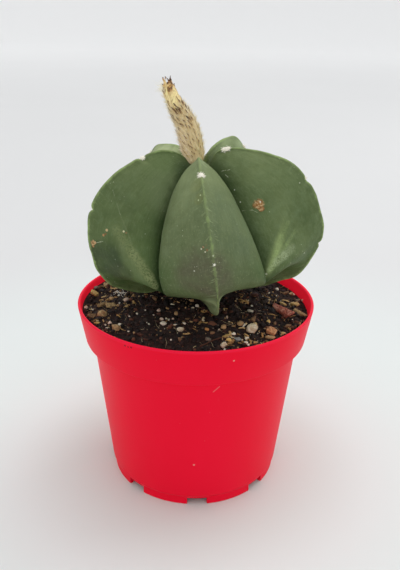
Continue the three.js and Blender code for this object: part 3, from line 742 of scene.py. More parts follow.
def straw():
    """Dry flower tissue: beige below, a straw-yellow band above, browned towards the split tip."""
    finish = Finish("dried_flower", Roughness=0.85)
    along = finish.read("along") + 0.1 * finish.noise(1.5, 2)
    finish.ramp(
        along, (0.0, 0xD8C8A0), (0.5, 0xE8D8AC), (0.66, 0xF4E096), (0.9, 0xF2DC8C), (1.0, 0xC89C60)
    )
    streak = finish.noise(0.5, 3, stretch=(1, 1, 0.2))
    finish.cover(streak.fade(0.5, 0.75) * 0.4, 0x8A6E44)
    finish.glow(TISSUE_PAINTED_GLOW)
    return finish.wear(normal=finish.bump(streak, 0.2))


def petal_skin():
    """Papery petals: beige at the root, straw-yellow with long streaks, brown at the crumpled end."""
    finish = Finish("flower_petal", Roughness=0.7)
    tip = finish.read("tip") + 0.3 * finish.read("shade") - 0.15
    finish.ramp(
        tip, (0.0, 0xDCC898), (0.25, 0xF0DCA4), (0.6, 0xF8E8A8), (0.85, 0xE6CC94), (0.95, 0xA87A4A),
        (1.0, 0x5A3C26),
    )
    streak = finish.noise(0.3, 3, stretch=(1, 1, 0.15))
    finish.cover(streak.fade(0.46, 0.66) * 0.6, 0xB08A54)
    finish.cover(finish.noise(0.8, 3, stretch=(1, 1, 0.4)).fade(0.6, 0.7) * 0.7, 0x7A5634)
    finish.glow(TISSUE_PAINTED_GLOW)
    return finish.wear(normal=finish.bump(streak, 0.15))


def withered(name, spread, shift, *stops):
    """Flower tissue that darkens towards its point, each piece of it by its own amount."""
    finish = Finish(name, Roughness=0.8)
    finish.ramp(finish.read("tip") + spread * finish.read("shade") - shift, *stops)
    finish.glow(TISSUE_PAINTED_GLOW)
    return finish.wear()


def hair():
    """Cream hairs, a little darker at the root; low on the flower they are olive on the right and rosy
    on the left."""
    finish = Finish("flower_hair", Roughness=0.8)
    shade = finish.read("shade")
    root, end = finish.mix(shade, 0xA48C58, 0xF0E4BE), finish.mix(shade, 0xDCC890, 0xFFFCEC)
    finish.base = finish.mix(finish.read("tip"), root, end)
    right, low = finish.axis(0).fade(-7, 2), finish.axis(2).fade(168, 150)
    uneven = 0.2 + 0.8 * finish.noise(2.2, 3, stretch=(1, 1, 0.4)).fade(0.35, 0.65)
    finish.cover(low * right * uneven * 0.6, 0xB0A850)
    finish.cover(low * (1 - right) * 0.5, 0xE8D2BE)
    finish.glow(TISSUE_PAINTED_GLOW)
    return finish.wear()


def peat():
    """Damp dark peat: brown on its crumbs, with fine paler fibres, and painted shade, near-black, in its
    hollows.
    """
    finish = Finish("soil", Roughness=0.95)
    crumb = finish.noise(1.3, 6, roughness=0.65)
    # Painted shade: the low places of this noise, which the bump makes hollows, are near-black
    finish.ramp(crumb, (0.3, 0x100705), (0.52, 0x24120C), (0.7, 0x42241A), (0.85, 0x6C4430))
    fibre = finish.noise(0.5, 5, stretch=(1, 0.3, 1), roughness=0.7).fade(0.66, 0.8)
    finish.cover(fibre * 0.5, 0x7D6344)
    return finish.wear(normal=finish.bump(crumb, 0.6))


def litter(name, *stops):
    """Small loose bits: each takes its own tone from the stops, mottled by noise."""
    finish = Finish(name, Roughness=0.85)
    finish.ramp(finish.read("shade") + 0.25 * finish.noise(0.5, 3) - 0.12, *stops)
    return finish.wear(normal=finish.bump(finish.noise(0.3, 3), 0.1))


def stone_skin(name, pale, dark, vein):
    """Weathered stone: two mottled tones, a stained vein and fine pits with painted shade in them."""
    finish = Finish(name, dark, IOR=1.45)
    mottle = finish.noise(1.1, 5, roughness=0.65)
    finish.cover(mottle.fade(0.35, 0.65), pale)
    finish.cover(finish.noise(2.4, 2).fade(0.56, 0.68) * 0.5, vein)
    # Painted shade: the pits are darkened as well as sunk
    pit = finish.cells(0.45).fade(0.3, 0.1)
    finish.cover(pit * 0.35, dark)
    return finish.wear(0.6 + 0.2 * mottle, finish.bump(mottle - pit * 0.4, 0.15))


def wood_skin(name, pale, dark, edge):
    """Broken wood or bark: long dark grain lines and stained patches."""
    finish = Finish(name, dark, Roughness=0.85)
    grain = finish.noise(0.55, 4, stretch=(1, 0.25, 1), roughness=0.7)
    finish.cover(grain.fade(0.35, 0.62), pale)
    finish.cover(finish.noise(1.8, 3).fade(0.52, 0.66) * 0.6, edge)
    return finish.wear(normal=finish.bump(grain, 0.25))


# Pot


ROUNDING_STEPS = 4


def rounded(corners):
    """A profile of (radius, height, rounding) corners. Each rounded corner becomes the parabola that
    starts and ends at that distance along its two sides."""
    corners = np.asarray(corners, float)
    line = []
    for index, (radius, height, rounding) in enumerate(corners):
        corner = np.array([radius, height])
        if rounding == 0:
            line.append(corner[None])
            continue
        before = corner + rounding * unit(corners[index - 1, :2] - corner)
        after = corner + rounding * unit(corners[index + 1, :2] - corner)
        share = np.linspace(0, 1, ROUNDING_STEPS + 1)[:, None]
        line.append((1 - share) ** 2 * before + 2 * share * (1 - share) * corner + share**2 * after)
    return np.vstack(line)


def drain_holes():
    """The drills for the floor's drain holes: short rods that stand round the floor."""
    bearing = DRAIN_BEARING + 360 / DRAIN_COUNT * np.arange(DRAIN_COUNT)
    low = outward(bearing) * FLOOR_HOLE_PLACE + [0, 0, FLOOR_UNDERSIDE - FLOOR_THICKNESS]
    rise = np.linspace(0, 3 * FLOOR_THICKNESS, 2)[:, None] * [0, 0, 1]
    size = np.full((DRAIN_COUNT, 2), float(FLOOR_HOLE_RADIUS))
    return strands(low[:, None] + rise, [1.0, 0, 0], size, size, corners=32)


# How many columns stand in a foot notch and between two notches, and the radius where the floor's
# profile starts
NOTCH_COLUMNS = 9
LAND_COLUMNS = 31
FLOOR_FLAT = 20
# Edges of the pot that turn by more than this stay sharp
SHARP_EDGE = np.radians(38)


def pot(finish):
    """One profile carried round the axis, with two columns at each side of a foot notch: between them
    the foot ring's lower rows rise to the notch's top. The drain holes are then cut."""
    collar_bottom = POT_HEIGHT - COLLAR_HEIGHT
    floor = FLOOR_UNDERSIDE + FLOOR_THICKNESS
    inner_ring = FOOT_RING_RADIUS - FOOT_RING_WIDTH
    profile = rounded([
        (FLOOR_FLAT, floor, 0), (BODY_FOOT_RADIUS - WALL, floor, 1),
        (BODY_TOP_RADIUS - WALL, collar_bottom + WALL / 2, 0.6),
        (COLLAR_FOOT_RADIUS - WALL, collar_bottom + WALL, 0.8),
        (RIM_RADIUS - WALL, POT_HEIGHT + LIP_RISE, 0.6), (RIM_RADIUS, POT_HEIGHT + LIP_RISE, 0.7),
        (COLLAR_FOOT_RADIUS, collar_bottom, 0.6), (BODY_TOP_RADIUS, collar_bottom, 0.5),
        (BODY_FOOT_RADIUS, BODY_FOOT_HEIGHT, 0.5), (FOOT_RING_RADIUS, FOOT_RING_TOP, 0.4),
        (FOOT_RING_RADIUS, 0, 0.35), (inner_ring, 0, 0.35), (inner_ring, FLOOR_UNDERSIDE, 0.3),
        (FLOOR_FLAT, FLOOR_UNDERSIDE, 0),
    ])
    half = np.degrees(np.arcsin(DRAIN_WIDTH / 2 / FOOT_RING_RADIUS))
    sector = 360 / DRAIN_COUNT
    notch = np.linspace(-half, half, NOTCH_COLUMNS)
    land = np.linspace(half, sector - half, LAND_COLUMNS)
    starts = DRAIN_BEARING + sector * np.arange(DRAIN_COUNT)[:, None]
    bearing = (starts + np.concatenate([notch, land])).reshape(-1)
    cut = np.tile(np.arange(NOTCH_COLUMNS + LAND_COLUMNS) < NOTCH_COLUMNS, DRAIN_COUNT)
    height = np.where(cut & (profile[:, 1:] < FLOOR_UNDERSIDE), FLOOR_UNDERSIDE, profile[:, 1:])
    rings = outward(bearing) * profile[:, :1, None] + height[..., None] * [0, 0, 1]
    shell = closed([0, 0, floor], rings, [0, 0, FLOOR_UNDERSIDE])
    piece = build("pot_shell", *shell, "pot_plastic", finish, ["pot"])
    drills = solid("drain_drills", *drain_holes(), finish)
    carve = piece.modifiers.new("drains", "BOOLEAN")
    carve.object = drills
    carve.operation = "DIFFERENCE"
    bpy.context.view_layer.update()
    shaped = piece.evaluated_get(bpy.context.evaluated_depsgraph_get())
    piece.modifiers.clear()
    piece.data = bpy.data.meshes.new_from_object(shaped)
    bpy.data.objects.remove(drills)
    piece.data.set_sharp_from_angle(angle=SHARP_EDGE)


# Soil


def soil_height(x, y):
    """The mound: level inside its inner radius, then falling to the wall by a power of the distance."""
    radius = np.hypot(x, y)
    share = np.clip((radius - MOUND_INNER) / (MOUND_OUTER - MOUND_INNER), 0, 1)
    at_wall = POT_HEIGHT - SOIL_DROP_AT_WALL - SOIL_DROP_TO_RIGHT * x / np.maximum(radius, MOUND_INNER)
    return at_wall + MOUND_HEIGHT * (1 - share) ** MOUND_CURVE


# A hollow beside the wall on the left
HOLLOW = (-46.5, 2)
HOLLOW_RADIUS = 6
HOLLOW_DEPTH = 2
# Beyond this radius the lumps have faded out
LUMPS_END = 51


def crumbly_height(x, y):
    """The mound with lumps of three sizes, the smaller the lower, and the hollow."""
    flat = np.stack([x, y, np.zeros_like(x)], -1)
    lumps = 0.75 * noise(flat, 5) + 0.45 * noise(flat + 40, 2.1) + 0.3 * noise(flat + 80, 0.9)
    hollow = HOLLOW_DEPTH * hump(np.hypot(x - HOLLOW[0], y - HOLLOW[1]), 0, HOLLOW_RADIUS)
    return soil_height(x, y) + (lumps - hollow) * smooth(LUMPS_END - np.hypot(x, y), 0, 3)


def laid(points, above=0):
    """Points moved up or down to lie above the crumbly mound by the given amount."""
    height = crumbly_height(points[..., 0], points[..., 1]) + above
    return np.concatenate([points[..., :2], height[..., None]], -1)


SOIL_ROWS = 150
SOIL_COLUMNS = 480
SOIL_REACH = 50.5
PLUG_GAP = 0.3


def soil(finish):
    """Rings from the plant's foot out to the pot's wall over the crumbly mound, then a plain plug
    down to the pot's floor."""
    around = outward(360 / SOIL_COLUMNS * np.arange(SOIL_COLUMNS))
    share = (np.arange(SOIL_ROWS) + 1)[:, None, None] / SOIL_ROWS
    top = laid(mixed([PLANT_FOOT_X, 0, 0] + around * 0.1, around * SOIL_REACH, share))
    ledge = POT_HEIGHT - COLLAR_HEIGHT
    floor = FLOOR_UNDERSIDE + FLOOR_THICKNESS + PLUG_GAP
    inset = WALL + PLUG_GAP
    down = np.array([
        (48, ledge + 2), (BODY_TOP_RADIUS - inset, ledge + 1), (BODY_FOOT_RADIUS - inset, floor),
    ])
    sides = around * down[:, :1, None] + down[:, 1:, None] * [0, 0, 1]
    surface = closed(laid(np.array([PLANT_FOOT_X, 0.0])), np.concatenate([top, sides]), [0, 0, floor])
    build("soil_mound", *surface, "soil", finish, ["soil"])


# Where loose bits lie, measured from the pot's axis
LITTER_INNER = 12.5
LITTER_OUTER = 49.6


def scattered(random, count, inner=LITTER_INNER, patches=0.0):
    """Seeded places spread over the soil between the plant's neck and the wall. Of three times as many
    draws those are kept where chance plus broad noise times `patches` is highest."""
    radius = np.sqrt(random.uniform(inner**2, LITTER_OUTER**2, 3 * count))
    place = outward(random.uniform(0, 360, 3 * count)) * radius[:, None]
    chance = random.random(3 * count) + patches * noise(place, 8)
    kept = np.argsort(-chance)[:count]
    place, radius = place[kept], radius[kept]
    place[:, 0] += PLANT_FOOT_X * (1 - smooth(radius, inner, LITTER_OUTER))
    return laid(place)


def crumbs(name, slot, finish, seed, count, sizes, grid, cuts, sharpness, sunk=0.25, patches=0.0):
    """Small lumps on the soil: cut stones of random sizes, more small ones than large, each turned
    and leaned by chance and pressed in by part of its height."""
    random = np.random.default_rng(seed)
    directions, faces = ball(*grid)
    shapes = cut_stones(directions, random, count, cuts, sharpness)
    size = mixed(*sizes, random.random(count) ** 3)
    height = size * 0.8
    stretch = np.stack([size * random.uniform(1, 1.6, count), size, height], -1)
    bearing, lean_axis = random.uniform(0, 360, (2, count))
    shapes = turned(shapes * stretch[:, None], bearing, lean_axis, random.uniform(0, 35, count))
    place = scattered(random, count, patches=patches)
    place[:, 2] += height * (0.5 - sunk)
    shade = random.random((count, 1))
    build(name, shapes + place[:, None], faces, slot, finish, shade=shade)


def flakes(name, slot, finish, seed, count, length, patches):
    """Bits of bark and shavings on the soil: flat strips with ragged sides, a random bow and a random
    lean, on the crumbs."""
    random = np.random.default_rng(seed)
    steps = 6
    share = np.linspace(-0.5, 0.5, steps)
    long = mixed(*length, random.random((count, 1)) ** 1.6)
    ahead = outward(random.uniform(0, 360, count))
    ahead[:, 2] = random.normal(0, 0.2, count)
    level = np.cross(ahead, [0.0, 0, 1]) + random.normal(0, 0.35, (count, 3)) * [0, 0, 1]
    bow = random.normal(0, 0.35, (count, 1)) * (0.25 - share**2)
    place = scattered(random, count, patches=patches)
    place[:, 2] += 0.35
    line = place[:, None] + ahead[:, None] * (long * share)[..., None]
    line[..., 2] += long * bow
    width = long * random.uniform(0.12, 0.32, (count, 1)) * random.uniform(0.75, 1.1, (count, steps))
    width[:, [0, -1]] *= random.uniform(0.3, 0.9, (count, 2))
    thin = random.uniform(0.12, 0.3, (count, 1)) * np.ones(steps)
    grow(name, slot, finish, line, level[:, None], width, thin, 4, random.random(count))


def fibres(name, slot, finish, seed, count, length, radius, flat=1.0, curl=0.35):
    """Root hairs and wood splinters on the soil: each wanders ahead while its bearing drifts by chance,
    a little above the crumbs, and thins at both ends."""
    random = np.random.default_rng(seed)
    steps = 7
    start = scattered(random, count, inner=14)
    bearing = random.uniform(0, 360, (count, 1))
    bearing = bearing + np.degrees(np.cumsum(random.normal(0, curl, (count, steps)), 1))
    stride = random.uniform(*length, (count, 1, 1)) / steps
    line = start[:, None] + np.cumsum(outward(bearing) * stride, 1)
    reach = np.hypot(line[..., 0], line[..., 1])
    line[..., :2] *= np.minimum(1, (LITTER_OUTER - 0.2) / reach)[..., None]
    thick = random.uniform(*radius, (count, 1)) * np.linspace(1, 0.5, steps) ** 0.5
    arch = np.sin(np.linspace(0, np.pi, steps)) * random.uniform(0, 0.8, (count, 1))
    line = laid(line, thick * flat + arch)
    grow(name, slot, finish, line, [0.0, 0, 1], thick * flat, thick, 4, random.random(count))


# name: length, width, height, turn, lean, cuts, sharpness, finish
PEBBLES = {
    "pebble_large": (5.3, 5, 4.2, 20, 0, 22, 7, "pale"),
    "pebble_square": (2.9, 2.8, 2.4, 10, 0, 9, 12, "pale"),
    "pebble_tan": (3.6, 4, 2.8, 50, 0, 14, 9, "tan"),
    "pebble_flat": (4.4, 4.2, 3, 0, 0, 14, 9, "tan"),
    "pebble_grey": (3.4, 2.4, 2, 15, 0, 10, 12, "grey"),
    "pebble_pale": (3.4, 2.7, 2.2, 25, 0, 11, 11, "pale"),
    "pebble_yellow": (4.4, 2.6, 1.8, -42, 15, 18, 6, "yellow"),
    "pebble_seed": (4, 1.4, 1.5, -40, 25, 18, 6, "yellow"),
    "pebble_wall": (3, 2.1, 1.7, 65, 0, 11, 10, "tan"),
    "pebble_back_1": (3.6, 2.9, 2.2, 0, 0, 12, 9, "pale"),
    "pebble_back_2": (4.2, 3.2, 2.4, 70, 0, 12, 9, "grey"),
    "pebble_back_3": (3, 2.6, 2, 30, 0, 12, 9, "tan"),
}
# name: length, width, height, turn, lean, finish
CHIPS = {
    "bark_red": (11.8, 4.4, 1.8, -57, 20, "bark_red"),
    "bark_orange": (5.8, 3.4, 1.6, -44, 28, "bark_orange"),
    "wood_chip_long": (5.6, 3, 1.4, 9, 22, "wood"),
    "wood_chip_short": (5.1, 1.6, 1.2, 38, 25, "wood"),
    "wood_chip_wall": (7.6, 2.4, 1.5, -45, 15, "wood"),
    "chip_brown": (4, 2.8, 1.3, -4, 22, "wood_brown"),
    "chip_yellow": (4.4, 1.8, 1.2, 38, 15, "wood_yellow"),
    "chip_amber": (4.4, 2.6, 1.4, -24, 18, "wood_yellow"),
    "bark_back": (7, 4, 1.6, 20, 0, "bark_red"),
    "chip_back": (4.4, 2.2, 1.3, 100, 0, "wood"),
}
# Rows and columns of a named stone, then how pebbles and chips are cut
STONE_GRID = (40, 60)
PEBBLE_SKEW = 0.6
PEBBLE_REACH = 0.62
PEBBLE_ROUGHNESS = 0.08
# Every chip's planes, sharpness, skew and reach
CHIP_CUT = (2, 26, 0.25, 0.85)
CHIP_ROUGHNESS = 0.14
# Small pieces on the soil: x, y, length, width, turn, tone from dark 0 over tan 0.5 to cream 1
SMALL_PIECES = [
    (38.8, -1.0, 2.5, 1.4, 10, 1), (47.3, 7.3, 2.3, 1.9, 30, 0.16), (45.5, 15.1, 2.8, 1.4, -20, 1),
    (38.5, 16.6, 1.5, 1.4, 0, 1), (42.1, 14.6, 3.8, 1.4, 15, 0.3), (49.4, 8.2, 1.4, 1.4, 0, 0.86),
    (30.8, -2.8, 4.0, 2.2, 20, 0), (30.5, -20.9, 3.0, 1.7, 70, 0.72),
    (30.5, -32.0, 4.5, 2.0, -20, 0.48), (33.5, -20.6, 2.5, 1.3, 80, 0.3),
    (24.2, -22.0, 3.8, 2.5, 70, 0.3), (23.2, -15.8, 3.8, 1.3, -45, 1),
    (38.9, -20.8, 3.8, 1.7, 0, 0.3), (-46.9, 12.5, 2.1, 1.9, 10, 0.16),
    (-48.2, -8.6, 1.8, 1.5, 0, 0.86), (-37.6, -3.5, 2.2, 2.2, 40, 0.48),
    (-30.4, -8.6, 2.6, 2.2, 60, 0.86), (-33.8, -11.3, 1.3, 1.3, 0, 0.48),
    (-41.2, -22.4, 2.9, 1.3, 20, 0.72), (-35.5, -25.4, 1.7, 1.7, 30, 0.86),
    (-31.3, -26.2, 1.7, 1.0, -10, 1), (-36.4, -28.7, 1.0, 0.8, 0, 1),
    (-27.2, -32.0, 1.0, 0.8, 20, 1), (-27.7, -22.3, 1.0, 0.8, 40, 1),
    (-24.7, -20.8, 1.0, 0.8, 0, 1), (-24.8, -33.1, 1.2, 1.2, 30, 0.48),
    (13.4, -37.7, 2.4, 1.8, 0, 0.72), (15.4, -33.8, 2.0, 1.6, 30, 1),
    (11.2, -29.9, 2.9, 2.4, 50, 0.48), (9.5, -31.1, 0.9, 0.8, 0, 0.86),
    (18.5, -26.9, 2.9, 2.5, 20, 0.48), (19.9, -26.8, 2.5, 1.2, 70, 1),
    (20.8, -33.8, 2.0, 1.6, 60, 1), (20.2, -37.4, 1.6, 1.6, 0, 1),
    (22.7, -35.9, 1.2, 0.8, 90, 0.48), (5.0, -38.3, 2.4, 2.0, 15, 0.16),
    (4.6, -33.5, 1.8, 1.6, 0, 0.6), (6.8, -35.3, 2.0, 1.2, 10, 0.3),
    (13.0, -23.6, 1.7, 1.0, 80, 0.86), (1.7, -28.0, 1.6, 1.0, 0, 1),
    (9.1, -28.7, 0.8, 0.8, 0, 0.16), (7.0, -31.4, 0.8, 0.8, 0, 0.16),
    (9.1, -32.9, 0.8, 0.8, 0, 0.16), (2.9, -31.4, 0.8, 0.8, 0, 0.16),
    (17.9, -32.9, 0.8, 0.8, 0, 0.16), (-13.3, -28.9, 2.7, 2.5, 30, 1),
    (-13.9, -25.6, 1.7, 1.4, 20, 0.86), (-11.0, -26.2, 1.2, 0.8, 90, 1),
    (-12.2, -25.4, 0.8, 0.8, 0, 1), (-9.5, -26.2, 1.2, 1.2, 0, 0.86),
    (-8.2, -23.0, 1.9, 1.7, 60, 0.48), (-7.0, -21.4, 0.8, 0.8, 0, 0.48),
    (-15.5, -20.3, 2.5, 1.7, 75, 0.86), (-11.9, -20.0, 2.3, 0.8, -50, 0.48),
    (-3.4, -26.0, 2.1, 1.0, 10, 0.3), (-1.7, -16.9, 2.1, 1.7, 60, 0.48),
    (0.5, -19.3, 1.7, 1.5, 0, 1), (-17.6, -12.4, 2.6, 2.6, 30, 0.3),
    (-4.6, -29.5, 1.6, 1.2, -40, 1), (-8.2, -30.4, 2.0, 0.7, 0, 1),
    (-6.1, -38.9, 2.8, 1.6, 80, 0.3), (-20.6, -26.6, 2.1, 2.1, 20, 0),
    (-14.2, -32.6, 0.8, 0.8, 0, 0.48), (-9.7, -38.9, 0.8, 0.8, 0, 1),
    (-21.2, -20.0, 0.7, 0.7, 0, 1), (-17.6, -22.7, 0.7, 0.7, 0, 1),
]
# A twig and some pale root hairs: stops (x, y) along each, thickness, tone
TWIGS = [
    ([(1.9, -42.2), (3.9, -41), (5.8, -39.6), (9.8, -37.7), (13, -36.9)], 0.32, 0.1),
    ([(-37.6, 3.6), (-35.4, 2.2), (-33, 0.4), (-30.8, -3)], 0.12, 1),
    ([(-38.4, 1.2), (-35, 1), (-32.6, -1), (-30.4, -1.4)], 0.1, 1),
    ([(-36.4, 5.2), (-34.6, 1.6), (-32.2, -2.2), (-31.4, -4.6)], 0.1, 0.9),
    ([(-33.4, 3.4), (-32.6, 0.2), (-33.4, -2.8), (-32, -5)], 0.08, 1),
]


def small_pieces(finish):
    """The small stones and flakes that the eye picks out: cut stones at their places on the slope, each
    a little lower than wide."""
    random = np.random.default_rng(57)
    x, y, length, width, turn, tone = np.array(SMALL_PIECES, float).T
    count = len(x)
    directions, faces = ball(8, 12)
    shapes = cut_stones(directions, random, count, cuts=3, sharpness=14, reach=0.75)
    shapes = shapes / np.ptp(shapes, axis=1, keepdims=True)
    height = np.minimum(width * 0.75, 1.5)
    shapes = shapes * np.stack([length, width, height], -1)[:, None]
    shapes = turned(shapes, turn, 0 * turn + 90, random.uniform(8, 28, count))
    middles = laid(np.stack([x, y], -1), height * 0.4 + 0.15)
    shapes = on_slope(shapes, middles) + middles[:, None]
    build("small_pieces", shapes, faces, "pebble_tan", finish, shade=tone[:, None])


def twigs(finish):
    """Each twig or hair follows its stops a little above the crumbs and thins towards its end."""
    share = np.linspace(0, 1, 12)
    lines = np.stack([spline(stops, share) for stops, radius, tone in TWIGS])
    radius, tone = np.array([row[1:] for row in TWIGS]).T
    lines = laid(lines, 0.5 + 0.3 * np.sin(np.pi * share))
    thick = radius[:, None] * np.linspace(1, 0.6, len(share))
    grow("twigs", "wood_chip", finish, lines, [0.0, 0, 1], thick, thick, 6, tone)


def centre_of(node):
    """The middle of a solid's box, in millimetres."""
    low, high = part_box(node)
    return np.array((low + high) / 2) / MM


def on_slope(shapes, middles):
    """Shapes turned so that what was level lies along the mound's slope at their places."""
    bearing = np.degrees(np.arctan2(middles[:, 0], -middles[:, 1]))
    radius = np.hypot(middles[:, 0], middles[:, 1])
    further = middles * (1 + 1 / radius)[:, None]
    fall = soil_height(middles[:, 0], middles[:, 1]) - soil_height(further[:, 0], further[:, 1])
    return turned(shapes, 0 * bearing, bearing + 90, -np.degrees(np.arctan(fall)))


def loose_stone(node, seed, sizes, turn, lean, cut, rough, slot, finish):
    """A named stone or chip where its solid lies: cut by random planes, stretched to its sizes, turned,
    leaned over, and laid on the mound's slope."""
    random = np.random.default_rng(seed)
    directions, faces = ball(*STONE_GRID)
    shape = cut_stones(directions, random, 1, *cut)
    shape = shape / np.ptp(shape, axis=1, keepdims=True) * sizes
    bumps = noise(shape[0] + seed, 0.9) + 0.6 * noise(shape[0] * [0.4, 1, 1] + seed, 0.35)
    shape = shape + directions * rough * bumps[:, None]
    middle = centre_of(node)
    shape = on_slope(turned(shape, *np.array([[turn], [90.0], [lean]])), middle[None])
    build(f"loose_{node}", shape + middle, faces, slot, finish, [node])


# Plant


def rib_bearing(rib, along):
    """Where a rib points; it swings to the right on its way down."""
    return rib["bearing"] + rib["turn"] * along**TURN_POWER


def rib_edge(rib, along):
    """A rib's edge: the common outline with the rib's own reach and lifts, turned to its bearing."""
    outline = spline(CREST, along)
    radius, height = outline[..., 0], outline[..., 1]
    radius = radius * (1 + (rib["reach"] - 1) * np.minimum(radius / REACH_RADIUS, 1))
    height = height + sum(lift * hump(along, place, spread) for place, lift, spread in rib["lifts"])
    return outward(rib_bearing(rib, along)) * radius[..., None] + height[..., None] * [0, 0, 1]


def edge_relief(rib, along):
    """How the edge strays from its outline, square to it: slow waves, and a dent at each notch."""
    outline = spline(CREST, along)
    ahead = spline(CREST, along + 0.002) - spline(CREST, along - 0.002)
    normal = unit(np.stack([-ahead[..., 1], ahead[..., 0]], -1))
    dents = sum(depth * hump(along, place, spread) for place, depth, spread in rib["notches"])
    waves = 0.3 * noise(outline[..., [0, 1, 1]] + rib["bearing"], 7)
    stray = (waves * smooth(along, 0.1, 0.2) * smooth(1 - along, 0.3, 0.4) - dents)[..., None]
    return (outward(rib_bearing(rib, along)) * normal[..., :1] + normal[..., 1:] * [0, 0, 1]) * stray


def furrow_line(furrow, along):
    """The bottom of a furrow, its lower end lifted by its own amount."""
    bearing, turn, lift = furrow
    outline = spline(FURROW, along)
    height = outline[..., 1] + lift * hump(along, FURROW_END_AT, FURROW_END_SPREAD)
    return outward(bearing + turn * along**TURN_POWER) * outline[..., :1] + height[..., None] * [0, 0, 1]


def fold_height(index, side, along, across):
    """The soft folds of one flank: a hump beside each fold's line that fades towards its upper end."""
    total = np.zeros_like(across)
    for rib, half, (start, end), (low, high), height, width in FOLDS:
        if (rib, half) == (index, side):
            share = (along - start) / (end - start)
            line = mixed(low, high, np.maximum(share, 0) ** FOLD_POWER)
            fades = smooth(1.2 - share, 0, 0.7) * smooth(share, -0.2, 0.1)
            total += height * hump(across, line, width) * fades
    return total


def flank(index, side, along, across):
    """A rib's left or right flank from its furrow, across 0, to its edge, across 1. The furrow's offset
    from the rib's own upright plane shrinks by (1 - across^full)^thin, bellied by the swell; the rest
    goes straight from furrow to edge and its middle is tucked up. A bead rounds the edge, and soft
    folds stand out. Gives the points, the distances from edge and furrow, and the folds."""
    rib = RIBS[index]
    edge = rib_edge(rib, along)
    low = furrow_line(FURROWS[index - 1 + side], along)
    full, thin, tuck = (spline(FLANK, along)[..., part] for part in range(3))
    sideways = outward(rib_bearing(rib, along) + 90)
    width = np.sum(low * sideways, -1)
    in_plane = low - sideways * width[..., None]
    depth = np.linalg.norm(edge - in_plane, axis=-1)
    belly = np.sin(np.pi * np.minimum(along / SWELL_END, 1))
    swollen = 1 + rib["swell"][side] * 4 * across * (1 - across) * belly
    folds = fold_height(index, side, along, across)
    kept = np.abs(width) * (1 - across**full) ** thin * swollen + folds
    bead = (BEADS[index] + rib["keel"][side] * hump(along, KEEL_AT, KEEL_SPREAD)) * smooth(depth, 1, 9)
    inward = np.minimum(depth * (1 - across) / np.maximum(bead, 1e-6), 1)
    bead = bead * np.sqrt(1 - (1 - inward) ** 2)
    offset = np.sign(width) * (kept**3 + bead**3) ** (1 / 3)
    points = mixed(in_plane, edge, across[..., None]) + sideways * offset[..., None]
    pinch = rib["pinch"][side] * hump(along, PINCH_AT, PINCH_SPREAD)
    points[..., 2] += rib["tuck"] * tuck * np.sin(np.pi * across)
    points[..., 2] += pinch * np.sin(np.pi * across**PINCH_POWER)
    away = depth * (1 - across)
    points = points + edge_relief(rib, along) * hump(away, 0, RELIEF_SPREAD)[..., None]
    return points, away, depth * across, folds


def plant_place(points):
    """Points about the plant's own axis, moved to its place in the pot with its slight lean."""
    x = points[..., 0] + PLANT_FOOT_X + PLANT_LEAN * points[..., 2]
    return np.stack([x, points[..., 1], points[..., 2] + POT_HEIGHT], -1)


PLANT_ROWS = 320
FLANK_COLUMNS = 25


def cactus(finish):
    """Rings round the whole plant from the crown to the root, each made of the ten flanks; columns
    crowd towards the ribs' edges. Low noise along the normal makes the skin uneven."""
    along = np.repeat(np.linspace(0, 1, PLANT_ROWS)[:, None], FLANK_COLUMNS, 1)
    crowded = 1 - (1 - np.linspace(0, 1, FLANK_COLUMNS + 1)) ** 1.5
    rising = np.broadcast_to(crowded[:-1], along.shape)
    falling = np.broadcast_to(crowded[:0:-1], along.shape)
    flanks = []
    for index in range(len(RIBS)):
        front = np.full(along.shape, float(index == 0))
        flanks.append((*flank(index, 0, along, rising), front, 0 * front))
        flanks.append((*flank(index, 1, along, falling), front, 1 + 0 * front))
    rings, edge, furrow, folds, front, side = (np.concatenate(part, axis=1) for part in zip(*flanks))
    rings = plant_place(rings)
    around = np.roll(rings, -1, 1) - np.roll(rings, 1, 1)
    normal = unit(np.cross(np.gradient(rings, axis=0), around))
    level = smooth(np.linspace(0, 1, PLANT_ROWS), 0.02, 0.1)[:, None, None]
    rings = rings + normal * (0.22 * noise(rings, 7) + 0.07 * noise(rings, 2.2))[..., None] * level
    values = {
        "edge_mm": edge, "furrow_mm": furrow, "fold": folds, "front": front, "side": side,
        # How much each place faces down and up: the skin paints shade and light from these
        "facing_down_shade": smooth(-normal[..., 2], 0.15, 0.6), "up": np.maximum(normal[..., 2], 0),
    }
    values = {key: np.concatenate([[0], value.reshape(-1), [0]]) for key, value in values.items()}
    ends = plant_place(np.array([(0, 0, CROWN_HEIGHT - CROWN_DIMPLE), (0, 0, ROOT_TIP_HEIGHT)]))
    build("cactus_body", *closed(ends[0], rings, ends[1]), "cactus_skin", finish, ["cactus"], **values)


# Tufts of wool: rib, place along its edge, half length and half width of the felted pad, hairs
AREOLES = [
    (0, 0.226, 1.05, 1, 300), (0, 0.433, 0.3, 0.3, 24), (1, 0.093, 1.7, 1.05, 420),
    (1, 0.315, 0.5, 0.4, 40), (1, 0.469, 0.4, 0.3, 24), (2, 0.27, 1.1, 0.8, 160),
    (2, 0.4, 0.5, 0.4, 50), (3, 0.3, 1.1, 0.8, 160), (3, 0.42, 0.5, 0.4, 50),
    (4, 0.19, 1.0, 0.9, 150), (4, 0.368, 0.5, 0.4, 40),
]
PAD_RISE = 0.75
HAIR_STEPS = 4


